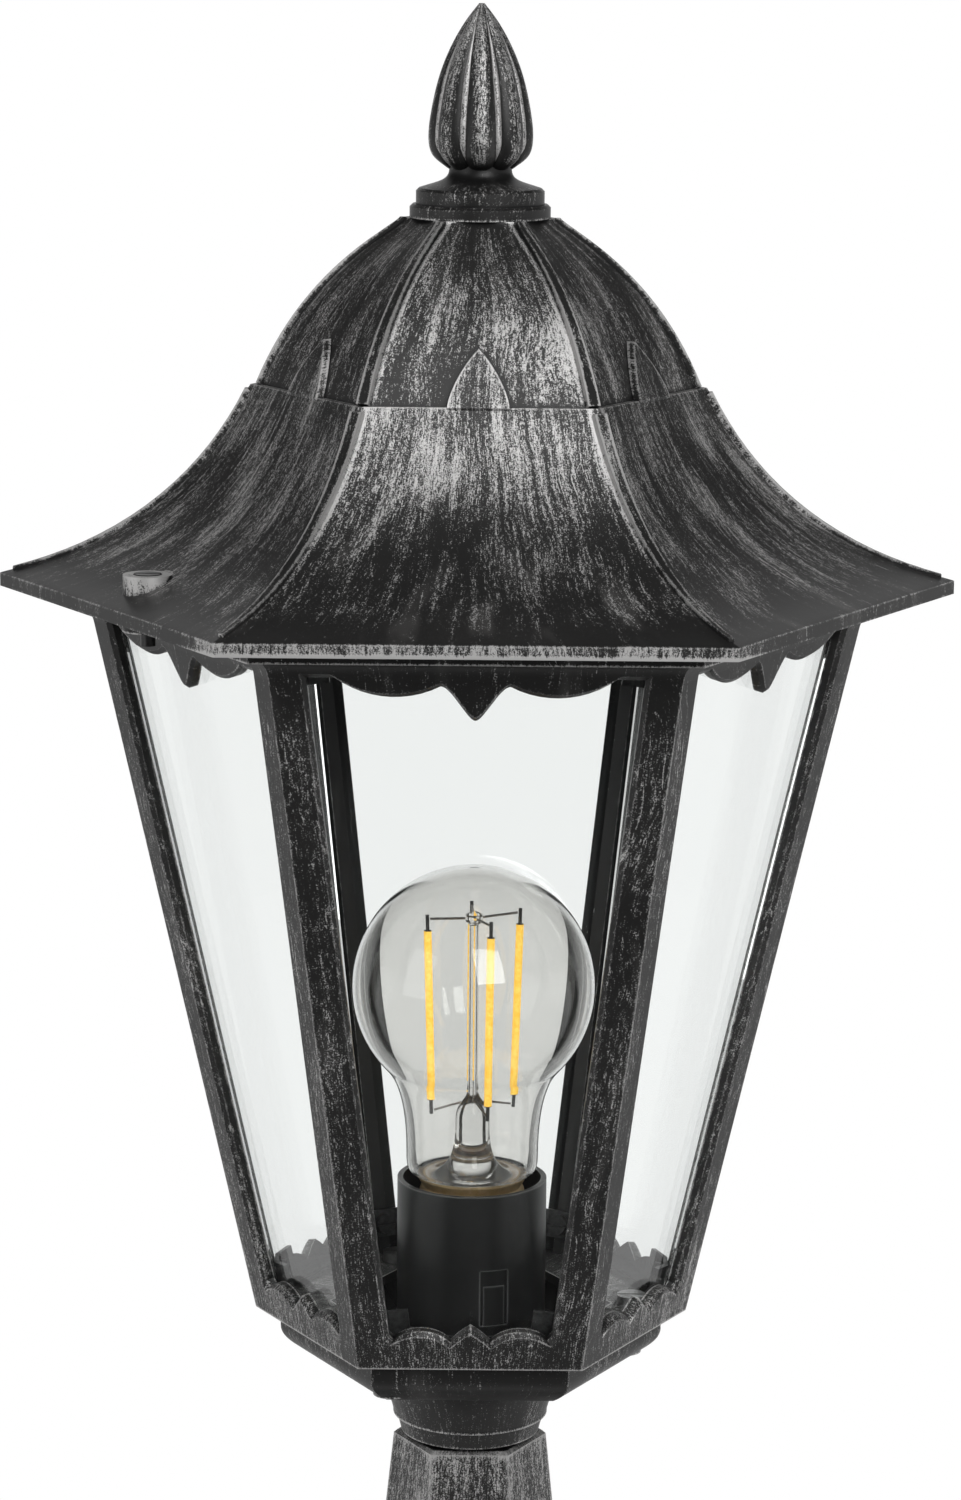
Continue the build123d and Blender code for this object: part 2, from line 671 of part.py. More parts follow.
def window_face(grow):
    half = Wire(window_half(grow))
    return Face(Wire(half.edges() + half.mirror(Plane.YZ).edges()))


def window_cutter():
    """A window's cut through the wall, opening out in a bevel at the outer face."""
    through = extrude(window_face(0.0), -2 * CAGE_WALL, dir=(0, 0, 1))
    mouth = Pos(0, 0, BELOW) * window_face(WINDOW_BEVEL + BELOW)
    throat = Pos(0, 0, -WINDOW_BEVEL) * window_face(0.0)
    return through + loft([throat, mouth], ruled=True)


def make_cage():
    low = CAGE_BOTTOM_RADIUS * FLAT
    high = CAGE_TOP_RADIUS * FLAT
    wall = CAGE_WALL / cos(FACE_TILT)
    flange_z = CAGE_TOP - TOP_FLANGE
    flange = high + TOP_FLANGE_OVERHANG
    cove_z = flange_z - TOP_COVE
    cove_a = cage_radius(cove_z) * FLAT
    half = line_run([(0, CAGE_Z), (low, CAGE_Z), (cove_a, cove_z)])
    cove_end = flange - TOP_FLANGE_LIP
    half += [curve(sweep_curve((cove_a, cove_z), (cove_end, flange_z), COVE_HANDLES))]
    half += line_run([(cove_end, flange_z), (flange, flange_z), (flange, CAGE_TOP), (0, CAGE_TOP)])
    cage = hex_solid(half)
    sink = tan(FACE_TILT) * BELOW
    cage = cage - hex_taper(low - wall - sink, CAGE_Z - BELOW, high - wall + sink, CAGE_TOP + BELOW)
    floor = hex_ring(low - CAGE_FLOOR_WIDTH, low - BELOW, CAGE_Z, CAGE_Z + CAGE_FLOOR)
    cage = cage + floor
    rib_face = Face(Wire.make_polygon([
        (CAGE_BOTTOM_RADIUS - CAGE_WALL, 0, CAGE_Z),
        (CAGE_TOP_RADIUS - CAGE_WALL, 0, CAGE_TOP),
        (CAGE_TOP_RADIUS - rib_depth(), 0, CAGE_TOP),
        (CAGE_BOTTOM_RADIUS - rib_depth(), 0, CAGE_Z),
    ]))
    rib = extrude(rib_face, CORNER_RIB / 2, both=True)
    for angle in CORNER_ANGLES:
        cage = cage + Rot(0, 0, angle) * rib
    opening = window_cutter()
    for angle in FACE_ANGLES:
        cage = cage - face_plane(angle) * opening
    for angle in BOSS_ANGLES:
        x, y = boss_place(angle)
        ear = rod(EAR_RADIUS, flange_z, CAGE_TOP, (x, y))
        cage = cage + (ear - hex_prism(high, flange_z - BELOW, CAGE_TOP + BELOW))
        cage = cage - rod(ROOF_SCREW_RADIUS + 2 * FREE_FIT, flange_z - BELOW, CAGE_TOP + BELOW, (x, y))
    for place in tray_boss_places():
        cage = cage - rod(TRAY_SCREW_RADIUS + FREE_FIT, CAGE_Z - BELOW, CAGE_Z + CAGE_FLOOR + BELOW, place)
    thread = rod(CLIP_SCREW_RADIUS, clip_seat() - CLIP_SCREW_REACH, clip_seat())
    for level in clip_levels():
        for angle in CORNER_ANGLES:
            cage = cage - clip_plane(angle, level) * thread
    return cage


def boss_place(angle):
    return polar(EAVE_RADIUS * FLAT - BOSS_INSET, angle)[:2]


def make_pane(angle):
    bottom = CAGE_FLOOR + PANE_FLOOR_GAP
    top = CAGE_HEIGHT - PANE_TOP_GAP
    low = window_half_width(bottom, PANE_EDGE)
    high = window_half_width(top, PANE_EDGE)
    corners = [(-low, slope(bottom)), (low, slope(bottom)), (high, slope(top)), (-high, slope(top))]
    plane = face_plane(angle, CAGE_WALL + PANE_GAP)
    return plane * extrude(Face(Wire.make_polygon(corners)), -PANE_THICKNESS, dir=(0, 0, 1))


# Pane clips: bent plates that bridge two panes at a corner post

CORNER_LEAN = atan(CAGE_SLOPE)
HALF_TURN = acos(cos(FACE_TILT) ** 2 * 0.5 + sin(FACE_TILT) ** 2) / 2


def glass_depth():
    """Depth of the panes' inner faces below the cage's outer faces."""
    return CAGE_WALL + PANE_GAP + PANE_THICKNESS


def rib_depth():
    """How far a corner rib reaches in from the corner, level, just short of the clips."""
    return clip_depth(CLIP_FLAT) / cos(CORNER_LEAN) - FREE_FIT


def clip_depth(aside):
    """Depth below the corner line, square to it, of the panes' inner faces at a distance aside."""
    return glass_depth() / cos(HALF_TURN) + aside * tan(HALF_TURN) + PANE_GAP


def clip_levels():
    return (CAGE_Z + CLIP_LIFT, CAGE_TOP - CLIP_DROP)


def clip_plane(angle, level):
    """Plane on a corner line, z inward and square to the line, y up along it."""
    inward = Vector(*polar(-cos(CORNER_LEAN), angle, sin(CORNER_LEAN)))
    return Plane(origin=polar(cage_radius(level), angle, level), x_dir=polar(1, angle - 90), z_dir=inward)


def make_clip_blank():
    near = clip_depth(CLIP_FLAT)
    far = clip_depth(CLIP_REACH)
    bend = CLIP_THICKNESS * tan(HALF_TURN / 2)
    tip = CLIP_REACH - CLIP_THICKNESS * sin(HALF_TURN)
    tip_depth = far + CLIP_THICKNESS * cos(HALF_TURN)
    inner = CLIP_FLAT - bend
    outline = [
        (-CLIP_REACH, 0, far), (-CLIP_FLAT, 0, near), (CLIP_FLAT, 0, near), (CLIP_REACH, 0, far),
        (tip, 0, tip_depth), (inner, 0, near + CLIP_THICKNESS),
        (-inner, 0, near + CLIP_THICKNESS), (-tip, 0, tip_depth), (-CLIP_REACH, 0, far),
    ]
    plate = extrude(Face(Wire.make_polygon(outline)), CLIP_HEIGHT / 2, both=True)
    return plate - Cylinder(CLIP_SCREW_RADIUS + FREE_FIT, 4 * far)


def make_clips():
    blank = make_clip_blank()
    return solids_of([clip_plane(angle, level) * blank for level in clip_levels() for angle in CORNER_ANGLES])


def clip_seat():
    """Depth of the clip screws' seats, on the clips' inner faces."""
    return clip_depth(CLIP_FLAT) + CLIP_THICKNESS


def make_clip_screws():
    seat = clip_seat()
    screw = pan_screw(CLIP_SCREW_RADIUS, CLIP_SCREW_REACH, CLIP_SCREW_HEAD_RADIUS, CLIP_SCREW_HEAD, seat)
    return solids_of([clip_plane(angle, level) * screw for level in clip_levels() for angle in CORNER_ANGLES])


# Tie tube and lampholder

TRAY_FLOOR_Z = TRAY_Z + TRAY_FLOOR
HOLDER_Z = TRAY_FLOOR_Z + NUT_HEIGHT
CORE_TOP = HOLDER_Z + HOLDER_BASE_HEIGHT + CORE_PROUD
CORE_Z = CORE_TOP - CORE_HEIGHT
HOLDER_RIM_Z = HOLDER_Z + HOLDER_HEIGHT


def make_tube():
    bottom = POST_TOP - POST_TOP_PLATE - WASHER_THICKNESS - NUT_HEIGHT - TUBE_TAIL
    return ring(TUBE_BORE, TUBE_RADIUS, bottom, HOLDER_Z + HOLDER_BASE_FLOOR)


def make_post_washer():
    top = POST_TOP - POST_TOP_PLATE
    return ring(TUBE_RADIUS + FREE_FIT, WASHER_RADIUS, top - WASHER_THICKNESS, top)


def make_post_nut():
    bottom = POST_TOP - POST_TOP_PLATE - WASHER_THICKNESS - NUT_HEIGHT
    return hex_nut(TUBE_RADIUS, NUT_FLATS, bottom, NUT_HEIGHT)


def make_lock_nut():
    return hex_nut(TUBE_RADIUS, NUT_FLATS, TRAY_FLOOR_Z, NUT_HEIGHT)


def make_holder_base():
    top = HOLDER_Z + HOLDER_BASE_HEIGHT
    inner = HOLDER_BASE_RADIUS - HOLDER_BASE_WALL
    cup = rod(HOLDER_BASE_RADIUS, HOLDER_Z, top) - rod(inner, CORE_Z, top + BELOW)
    cup = cup - rod(inner - CORE_LEDGE, HOLDER_Z + HOLDER_BASE_FLOOR, top)
    return cup - rod(TUBE_RADIUS, HOLDER_Z - BELOW, top)


def make_core():
    radius = HOLDER_BASE_RADIUS - HOLDER_BASE_WALL - FREE_FIT
    return rod(radius, CORE_Z, CORE_TOP)


def make_screw_shell():
    sleeve = ring(SCREW_SHELL_BORE, SCREW_SHELL_RADIUS, CORE_TOP, CORE_TOP + SCREW_SHELL_LENGTH)
    opening = sqrt(TONGUE_LENGTH**2 + (TONGUE_WIDTH / 2) ** 2) + FREE_FIT
    return sleeve + ring(opening, SCREW_SHELL_RADIUS, CORE_TOP, CORE_TOP + SCREW_SHELL_LIP)


def make_centre_contact():
    thick = TONGUE_THICKNESS
    top = CORE_TOP + TONGUE_RISE
    heel = -TONGUE_LENGTH + TONGUE_WIDTH / 2
    bend = heel + 2 * TONGUE_RISE
    end = TONGUE_WIDTH / 2
    outline = [
        (-TONGUE_LENGTH, CORE_TOP), (heel, CORE_TOP), (bend, top - thick), (end, top - thick),
        (end, top), (bend - thick, top), (heel - thick, CORE_TOP + thick), (-TONGUE_LENGTH, CORE_TOP + thick),
        (-TONGUE_LENGTH, CORE_TOP),
    ]
    face = Face(Wire.make_polygon([(x, 0, z) for x, z in outline]))
    return extrude(face, TONGUE_WIDTH / 2, both=True)


def make_holder_shell():
    rim_bore = HOLDER_RADIUS - HOLDER_RIM_WALL
    base_top = HOLDER_Z + HOLDER_BASE_HEIGHT
    mouth = CORE_TOP + SCREW_SHELL_LENGTH + FREE_FIT
    shell = rod(HOLDER_RADIUS, HOLDER_Z + HOLDER_BASE_FLOOR, HOLDER_RIM_Z)
    shell = shell - rod(HOLDER_BASE_RADIUS + RUNNING_FIT, HOLDER_Z, base_top)
    shell = shell - rod(SCREW_SHELL_RADIUS + FREE_FIT, HOLDER_Z, HOLDER_RIM_Z)
    shell = shell - rod(rim_bore, mouth, HOLDER_RIM_Z + BELOW)
    width, height = HOLDER_LATCH
    place = Pos(HOLDER_RADIUS, 0, HOLDER_Z + HOLDER_LATCH_LIFT)
    deep = 2 * HOLDER_LATCH_DEPTH
    notch = place * Box(deep, width, height, align=UPRIGHT)
    tongue = place * Box(deep, width - 2 * HOLDER_LATCH_GAP, height - HOLDER_LATCH_SLOT, align=UPRIGHT)
    tongue = tongue & rod(HOLDER_RADIUS - FREE_FIT, HOLDER_Z, HOLDER_RIM_Z)
    return Rot(0, 0, HOLDER_LATCH_ANGLE) * (shell - notch + tongue)


# Bulb

CONTACT_Z = CORE_TOP + TONGUE_RISE + CONTACT_GAP
BULB_CENTRE = CONTACT_Z + BULB_LENGTH - BULB_RADIUS
STEM_TOP = CONTACT_Z + BULB_LENGTH - STEM_HEADROOM
INSULATOR_Z = CONTACT_Z + CONTACT_HEIGHT
CAP_Z = INSULATOR_Z + INSULATOR_HEIGHT
CAP_TOP = CAP_Z + CAP_PITCH * CAP_TURNS + CAP_RIM
STEM_PRESS_Z = CAP_TOP + STEM_PRESS_LIFT


def make_bulb_contact():
    low = CONTACT_RADIUS - CONTACT_TAPER
    return spun([
        (0, CONTACT_Z), (low, CONTACT_Z), (CONTACT_RADIUS, INSULATOR_Z), (0, INSULATOR_Z), (0, CONTACT_Z),
    ])


def make_bulb_insulator():
    low = CONTACT_RADIUS + CONTACT_TAPER
    high = CAP_ROOT_RADIUS - CAP_WALL
    return spun([(0, INSULATOR_Z), (low, INSULATOR_Z), (high, CAP_Z), (0, CAP_Z), (0, INSULATOR_Z)])


def make_bulb_cap():
    """The screw cap's shell, its thread drawn as rounded rings one pitch apart."""
    edges = []
    for turn in range(CAP_TURNS):
        z = CAP_Z + turn * CAP_PITCH
        low = (CAP_ROOT_RADIUS, 0, z)
        crest = (CAP_CREST_RADIUS, 0, z + CAP_PITCH / 2)
        high = (CAP_ROOT_RADIUS, 0, z + CAP_PITCH)
        edges.append(ThreePointArc(low, crest, high))
    inner = CAP_ROOT_RADIUS - CAP_WALL
    rim_z = CAP_TOP - CAP_RIM
    edges += line_run([
        (CAP_ROOT_RADIUS, rim_z), (CAP_RIM_RADIUS, CAP_TOP - CAP_RIM_EDGE),
        (CAP_RIM_RADIUS, CAP_TOP), (inner, CAP_TOP),
        (inner, CAP_Z), (CAP_ROOT_RADIUS, CAP_Z),
    ])
    return revolve(Face(Wire(edges)), Axis.Z)


def bulb_outline(sink):
    """Bulb profile from its mouth on the cap to its top, sunk inward by a wall."""
    radius = BULB_RADIUS - sink
    neck = BULB_NECK_RADIUS - sink
    neck_z = CONTACT_Z + BULB_NECK_LEVEL
    join = radians(BULB_SHOULDER_ANGLE)
    shoulder = (radius * cos(join), 0, BULB_CENTRE + radius * sin(join))
    crown = (0, 0, BULB_CENTRE + radius)
    mouth = (BULB_MOUTH_RADIUS - sink, 0, CAP_TOP)
    lead = BULB_SHOULDER_LEAD
    heel_z = (CAP_TOP + neck_z) / 2
    return [
        Bezier(mouth, (neck, 0, CAP_TOP), (neck, 0, heel_z), (neck, 0, neck_z)),
        Bezier(
            (neck, 0, neck_z), (neck, 0, neck_z + BULB_NECK_LEAD),
            (shoulder[0] + lead * sin(join), 0, shoulder[2] - lead * cos(join)), shoulder,
        ),
        ThreePointArc(shoulder, (radius, 0, BULB_CENTRE), crown),
    ]


def make_bulb_envelope():
    outer = bulb_outline(0.0)
    inner = bulb_outline(BULB_WALL)
    mouth = Line((BULB_MOUTH_RADIUS - BULB_WALL, 0, CAP_TOP), (BULB_MOUTH_RADIUS, 0, CAP_TOP))
    top = Line((0, 0, BULB_CENTRE + BULB_RADIUS - BULB_WALL), (0, 0, BULB_CENTRE + BULB_RADIUS))
    return revolve(Face(Wire(outer + inner + [mouth, top])), Axis.Z)


def make_bulb_stem():
    top = STEM_TOP
    press = STEM_PRESS_Z
    flare = BULB_MOUTH_RADIUS - BULB_WALL - STEM_FLARE_GAP
    thin = STEM_ROD_RADIUS
    hub = thin + STEM_HUB
    waist = STEM_PRESS_RADIUS
    low = press - STEM_PRESS_FALL
    high = press + STEM_PRESS_FALL
    edges = [
        Bezier((flare, 0, CAP_TOP), (waist, 0, CAP_TOP), (waist, 0, low - STEM_PRESS_FALL), (waist, 0, low)),
        Bezier((waist, 0, low), (waist, 0, press), (thin, 0, press), (thin, 0, high)),
    ]
    edges += line_run([
        (thin, high), (thin, top - 4 * STEM_HUB), (hub, top - 3 * STEM_HUB),
        (hub, top - STEM_HUB), (0, top), (0, CAP_TOP), (flare, CAP_TOP),
    ])
    return revolve(Face(Wire(edges)), Axis.Z)


def filament_ends(angle):
    top = polar(FILAMENT_RING_TOP, angle, STEM_TOP - FILAMENT_DROP)
    bottom = polar(FILAMENT_RING_BOTTOM, angle, STEM_PRESS_Z - FILAMENT_SAG)
    return Vector(*bottom), Vector(*top)


def strut(start, end, radius):
    plane = Plane(origin=start, z_dir=end - start)
    return plane * Cylinder(radius, (end - start).length, align=UPRIGHT)


def make_filaments():
    """Coated rods, each with a thin pin at either end."""
    rods = []
    for angle in FILAMENT_ANGLES:
        bottom, top = filament_ends(angle)
        pin = (top - bottom).normalized() * FILAMENT_PIN
        rods.append(strut(bottom, top, FILAMENT_PIN_RADIUS) + strut(bottom + pin, top - pin, FILAMENT_RADIUS))
    return solids_of(rods)


def make_bulb_leads():
    """Wires from the stem's hub and from its press to the filaments' pins."""
    wires = []
    rest = LEAD_WIRE_RADIUS + LEAD_WIRE_GAP
    hub = STEM_ROD_RADIUS + STEM_HUB + rest
    press = (STEM_ROD_RADIUS + STEM_PRESS_RADIUS) / 2 + rest
    for angle in FILAMENT_ANGLES:
        bottom, top = filament_ends(angle)
        beside = Vector(*polar(FILAMENT_PIN_RADIUS + rest, angle))
        high = top - beside - Vector(0, 0, LEAD_WIRE_INSET)
        low = bottom - beside + Vector(0, 0, LEAD_WIRE_INSET)
        wires.append(strut(Vector(*polar(hub, angle, STEM_TOP - 2 * STEM_HUB)), high, LEAD_WIRE_RADIUS))
        wires.append(strut(Vector(*polar(press, angle, STEM_PRESS_Z)), low, LEAD_WIRE_RADIUS))
    return solids_of(wires)


def make_driver():
    return Pos(0, 0, CAP_Z) * Box(*DRIVER_BOARD, align=UPRIGHT)


# Roof

def skirt_curve():
    start = (EAVE_RADIUS, RIM_TOP)
    return sweep_curve(start, (CROWN_RADIUS, CROWN_Z), SKIRT_HANDLES)


def dome_curve():
    return sweep_curve((DOME_RADIUS, LEDGE_Z), (DOME_TOP_RADIUS, DOME_TOP), DOME_HANDLES)


def flattened(points):
    """A hip curve seen on the faces: corner radii become apothems."""
    return [(radius * FLAT, z) for radius, z in points]


def hip_battens(points, sink, low_z, far, near_width, far_width):
    """Six raised battens along a hip curve, tapering between two widths, from a level up."""
    lean = BATTEN_PROUD / sqrt(2)
    outer = curve(shifted(points, lean, lean))
    inner = curve(shifted(points, -sink, -sink))
    face = Face(Wire([outer, Line(outer @ 1, inner @ 1), inner, Line(inner @ 0, outer @ 0)]))
    slab = extrude(face, BATTEN_WIDTH, both=True)
    near = points[-1][0] - sink - BELOW
    wedge = Face(Wire.make_polygon([
        (near, -near_width / 2, low_z), (far, -far_width / 2, low_z),
        (far, far_width / 2, low_z), (near, near_width / 2, low_z),
    ]))
    wedge = extrude(wedge, points[-1][1] - low_z, dir=(0, 0, 1))
    batten = slab & wedge
    return [Rot(0, 0, angle) * batten for angle in CORNER_ANGLES]


def make_leaf():
    """One leaf over the dome's face at angle 0, standing on the skirt's crown."""
    face_curve = flattened(dome_curve())
    thick = (LEDGE_WIDTH * FLAT) - DOME_FIT
    inner_points = shifted(face_curve, DOME_FIT, 0)
    outer_points = shifted(face_curve, DOME_FIT + thick, 0)
    foot = LEDGE_Z - DOME_REBATE
    inner_foot = (inner_points[0][0], foot)
    outer_foot = (outer_points[0][0] - LEDGE_CHAMFER, foot)
    inner = curve(inner_points)
    outer = curve(outer_points)
    edges = [inner, outer] + line_run([inner_points[-1], outer_points[-1]])
    edges += line_run([inner_points[0], inner_foot, outer_foot, outer_points[0]])
    plate = extrude(Face(Wire(edges)), LEAF_HALF_WIDTH + BELOW, both=True)
    half, tip = LEAF_HALF_WIDTH, LEDGE_Z + LEAF_HEIGHT
    side = [
        (0, half, LEDGE_Z), (0, LEAF_HANDLES[0][0] * half, LEDGE_Z + LEAF_HANDLES[0][1] * LEAF_HEIGHT),
        (0, LEAF_HANDLES[1][0] * half, LEDGE_Z + LEAF_HANDLES[1][1] * LEAF_HEIGHT), (0, 0, tip),
    ]
    other = [(x, -y, z) for x, y, z in side]
    base = [Line((0, half, foot), (0, half, LEDGE_Z)), Line((0, -half, foot), (0, -half, LEDGE_Z))]
    lancet = Face(Wire([Bezier(*side), Bezier(*other), Line((0, half, foot), (0, -half, foot))] + base))
    return plate & extrude(lancet, EAVE_RADIUS, dir=(1, 0, 0))


def boss_top():
    """The bosses' level: a little above the skirt where they stand."""
    across = (EAVE_RADIUS * FLAT - BOSS_INSET)
    line = curve(flattened(skirt_curve()))
    share = 0.5
    step = 0.25
    while step > HALVING_END:
        share += step if (line @ share).X > across else -step
        step /= 2
    return (line @ share).Z + BOSS_PROUD


def make_skirt():
    points = flattened(skirt_curve())
    eave = EAVE_RADIUS * FLAT
    crown = CROWN_RADIUS * FLAT
    half = line_run([(0, ROOF_Z), (eave, ROOF_Z), points[0]])
    half += [curve(points)]
    half += line_run([points[-1], (crown - LEDGE_CHAMFER, LEDGE_Z), (0, LEDGE_Z)])
    outer = hex_solid(half)
    shift = ROOF_WALL / sqrt(2)
    inside = shifted(points, -shift, -shift)
    low = ROOF_Z - BELOW
    half = line_run([(0, low), (inside[0][0], low), inside[0]]) + [curve(inside)]
    half += line_run([inside[-1], (0, inside[-1][1])])
    hollow = hex_solid(half) & hex_prism(eave, low, LEDGE_Z - CROWN_RING)
    skirt = outer - hollow
    cage_side = CAGE_TOP_RADIUS * FLAT
    seat = hex_ring(cage_side - SEAT_INSET, cage_side - SEAT_INSET + SEAT_WIDTH, ROOF_Z, CROWN_Z)
    skirt = skirt + (seat & outer)
    stop = EAVE_RADIUS - RIM_HEIGHT
    for batten in hip_battens(skirt_curve(), shift / 2, ROOF_Z, stop, BATTEN_WIDTH, BATTEN_TIP):
        skirt = skirt + batten
    top = boss_top()
    for angle in BOSS_ANGLES:
        place = boss_place(angle)
        skirt = skirt + rod(BOSS_RADIUS, ROOF_Z, top, place)
    for angle in BOSS_ANGLES:
        place = boss_place(angle)
        skirt = skirt - rod(ROOF_SCREW_RADIUS + RUNNING_FIT, ROOF_Z - BELOW, top + BELOW, place)
        skirt = skirt - rod(ROOF_SCREW_HEAD_RADIUS + FREE_FIT, top - ROOF_SCREW_SUNK, top + BELOW, place)
    leaf = make_leaf()
    for angle in FACE_ANGLES:
        skirt = skirt + Rot(0, 0, angle) * leaf
    skirt = skirt - hex_prism(DOME_RADIUS * FLAT + DOME_FIT, LEDGE_Z - DOME_REBATE, LEDGE_Z)
    return skirt - hex_prism(bridge_opening(), LEDGE_Z - CROWN_RING - BELOW, LEDGE_Z)


def bridge_opening():
    """Apothem of the opening under the dome, inside its wall."""
    return DOME_RADIUS * FLAT - DOME_WALL - DOME_REBATE


def make_dome():
    points = flattened(dome_curve())
    foot = LEDGE_Z - DOME_REBATE
    side = DOME_RADIUS * FLAT
    half = line_run([(0, foot), (side, foot), points[0]]) + [curve(points)]
    half += line_run([points[-1], (0, DOME_TOP)])
    outer = hex_solid(half)
    inside = shifted(points, -DOME_WALL * FLAT, -DOME_WALL / 2)
    half = line_run([(0, foot - BELOW), (inside[0][0], foot - BELOW), inside[0]]) + [curve(inside)]
    half += line_run([inside[-1], (0, inside[-1][1])])
    hollow = hex_solid(half) & hex_prism(side, foot - BELOW, DOME_TOP - DOME_TOP_PLATE)
    dome = outer - hollow
    low = LEDGE_Z + DOME_FIT
    far = DOME_RADIUS + LEDGE_WIDTH
    for batten in hip_battens(dome_curve(), DOME_WALL / 2, low, far, BATTEN_TIP, BATTEN_WIDTH):
        dome = dome + batten
    return dome - rod(STUD_RADIUS + FREE_FIT, LEDGE_Z, DOME_TOP + BELOW)


def make_collar():
    edge = EDGE_BREAK
    bore = STUD_RADIUS + FREE_FIT
    top = FINIAL_Z
    section = [
        (bore, DOME_TOP), (COLLAR_RADIUS, DOME_TOP), (COLLAR_RADIUS, top - edge),
        (COLLAR_RADIUS - edge, top), (bore, top), (bore, DOME_TOP),
    ]
    return spun(section)


def lobed_section(radius, z):
    """A closed ring of rounded lobes with sharp grooves between them."""
    step = 360 / BUD_LOBES
    arcs = []
    for k in range(BUD_LOBES):
        start = polar(radius * (1 - BUD_GROOVE), (k - 0.5) * step - 90, z)
        middle = polar(radius, k * step - 90, z)
        end = polar(radius * (1 - BUD_GROOVE), (k + 0.5) * step - 90, z)
        arcs.append(ThreePointArc(start, middle, end))
    return Face(Wire(arcs))


def make_finial():
    neck_z = FINIAL_Z + FINIAL_NECK_HEIGHT
    flange_top = FINIAL_Z + FINIAL_FLANGE
    tip = FINIAL_Z + FINIAL_HEIGHT
    rise = tip - neck_z
    edge = EDGE_BREAK
    overlap = neck_z + BELOW
    edges = line_run([
        (0, overlap), (0, FINIAL_Z), (FINIAL_FLANGE_RADIUS, FINIAL_Z),
        (FINIAL_FLANGE_RADIUS, flange_top - edge), (FINIAL_FLANGE_RADIUS - edge, flange_top),
    ])
    shoulder = (FINIAL_FLANGE_RADIUS - edge, flange_top)
    edges.append(curve(sweep_curve(shoulder, (FINIAL_NECK_RADIUS, neck_z), FINIAL_HANDLES)))
    edges += line_run([(FINIAL_NECK_RADIUS, neck_z), (FINIAL_NECK_RADIUS, overlap), (0, overlap)])
    foot = revolve(Face(Wire(edges)), Axis.Z)
    bud = loft([lobed_section(share * BUD_RADIUS, neck_z + height * rise) for height, share in BUD_SHAPE])
    finial = foot + bud
    return finial - rod(STUD_RADIUS, FINIAL_Z - BELOW, FINIAL_Z + STUD_IN_FINIAL)


def bridge_top():
    return LEDGE_Z - CROWN_RING


def make_bridge():
    length = 2 * (bridge_opening() + BRIDGE_BEARING)
    top = bridge_top()
    bar = Pos(0, 0, top - BRIDGE_THICKNESS) * Box(BRIDGE_WIDTH, length, BRIDGE_THICKNESS, align=UPRIGHT)
    return bar - rod(STUD_RADIUS + FREE_FIT, top - 2 * BRIDGE_THICKNESS, top + BELOW)


def make_stud_washer():
    top = bridge_top() - BRIDGE_THICKNESS
    return ring(STUD_RADIUS + FREE_FIT, 2 * STUD_RADIUS, top - WASHER_THICKNESS, top)


def stud_nut_z():
    return bridge_top() - BRIDGE_THICKNESS - WASHER_THICKNESS - NUT_HEIGHT


def make_stud_nut():
    return hex_nut(STUD_RADIUS, STUD_NUT_FLATS, stud_nut_z(), NUT_HEIGHT)


def make_stud():
    return rod(STUD_RADIUS, stud_nut_z() - STUD_TAIL, FINIAL_Z + STUD_IN_FINIAL)


def make_roof_gasket():
    inner = CAGE_TOP_RADIUS * FLAT - SEAT_INSET
    return hex_ring(inner, inner + SEAT_WIDTH - EDGE_BREAK, CAGE_TOP, ROOF_Z)


def make_roof_screw(angle):
    seat = boss_top() - ROOF_SCREW_SUNK
    reach = seat - CAGE_TOP + ROOF_SCREW_REACH
    return pan_screw(
        ROOF_SCREW_RADIUS, reach, ROOF_SCREW_HEAD_RADIUS, ROOF_SCREW_HEAD, seat, boss_place(angle),
    )


def main():
    parts = {
        "foot": make_foot(),
        "post": make_post(),
        "post_screws": make_post_screws(),
        "cable_grommet": make_grommet(),
        "terminal_block": make_terminal_block(),
        "terminal_screws": make_terminal_screws(),
        "terminal_fixing": make_terminal_fixing(),
        "earth_screw": make_earth_screw(),
        "live_lead": make_supply_lead(-1),
        "neutral_lead": make_supply_lead(1),
        "earth_lead": make_earth_lead(),
        "neck_gasket": make_neck_gasket(),
        "lantern_base": make_lantern_base(),
        "tray_gasket": make_tray_gasket(),
        "tray_screws": make_tray_screws(),
        "threaded_tube": make_tube(),
        "post_washer": make_post_washer(),
        "post_nut": make_post_nut(),
        "lock_nut": make_lock_nut(),
        "lantern_cage": make_cage(),
        "pane_clips": make_clips(),
        "pane_clip_screws": make_clip_screws(),
        "lampholder_base": make_holder_base(),
        "lampholder_core": make_core(),
        "screw_shell": make_screw_shell(),
        "centre_contact": make_centre_contact(),
        "lampholder_shell": make_holder_shell(),
        "bulb_contact": make_bulb_contact(),
        "bulb_insulator": make_bulb_insulator(),
        "bulb_cap": make_bulb_cap(),
        "bulb_driver": make_driver(),
        "bulb_envelope": make_bulb_envelope(),
        "bulb_stem": make_bulb_stem(),
        "bulb_filaments": make_filaments(),
        "bulb_leads": make_bulb_leads(),
        "roof_gasket": make_roof_gasket(),
        "roof_skirt": make_skirt(),
        "roof_dome": make_dome(),
        "finial_collar": make_collar(),
        "finial": make_finial(),
        "finial_stud": make_stud(),
        "bridge_bar": make_bridge(),
        "stud_washer": make_stud_washer(),
        "stud_nut": make_stud_nut(),
        "roof_screw_left": make_roof_screw(BOSS_ANGLES[0]),
        "roof_screw_right": make_roof_screw(BOSS_ANGLES[1]),
    }
    for number, angle in enumerate((270, 330, 30, 90, 150, 210), start=1):
        parts[f"glass_pane_{number}"] = make_pane(angle)
    os.makedirs("parts", exist_ok=True)
    for name, shape in parts.items():
        export_step(shape, f"parts/{name}.step")


main()
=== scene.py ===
import math

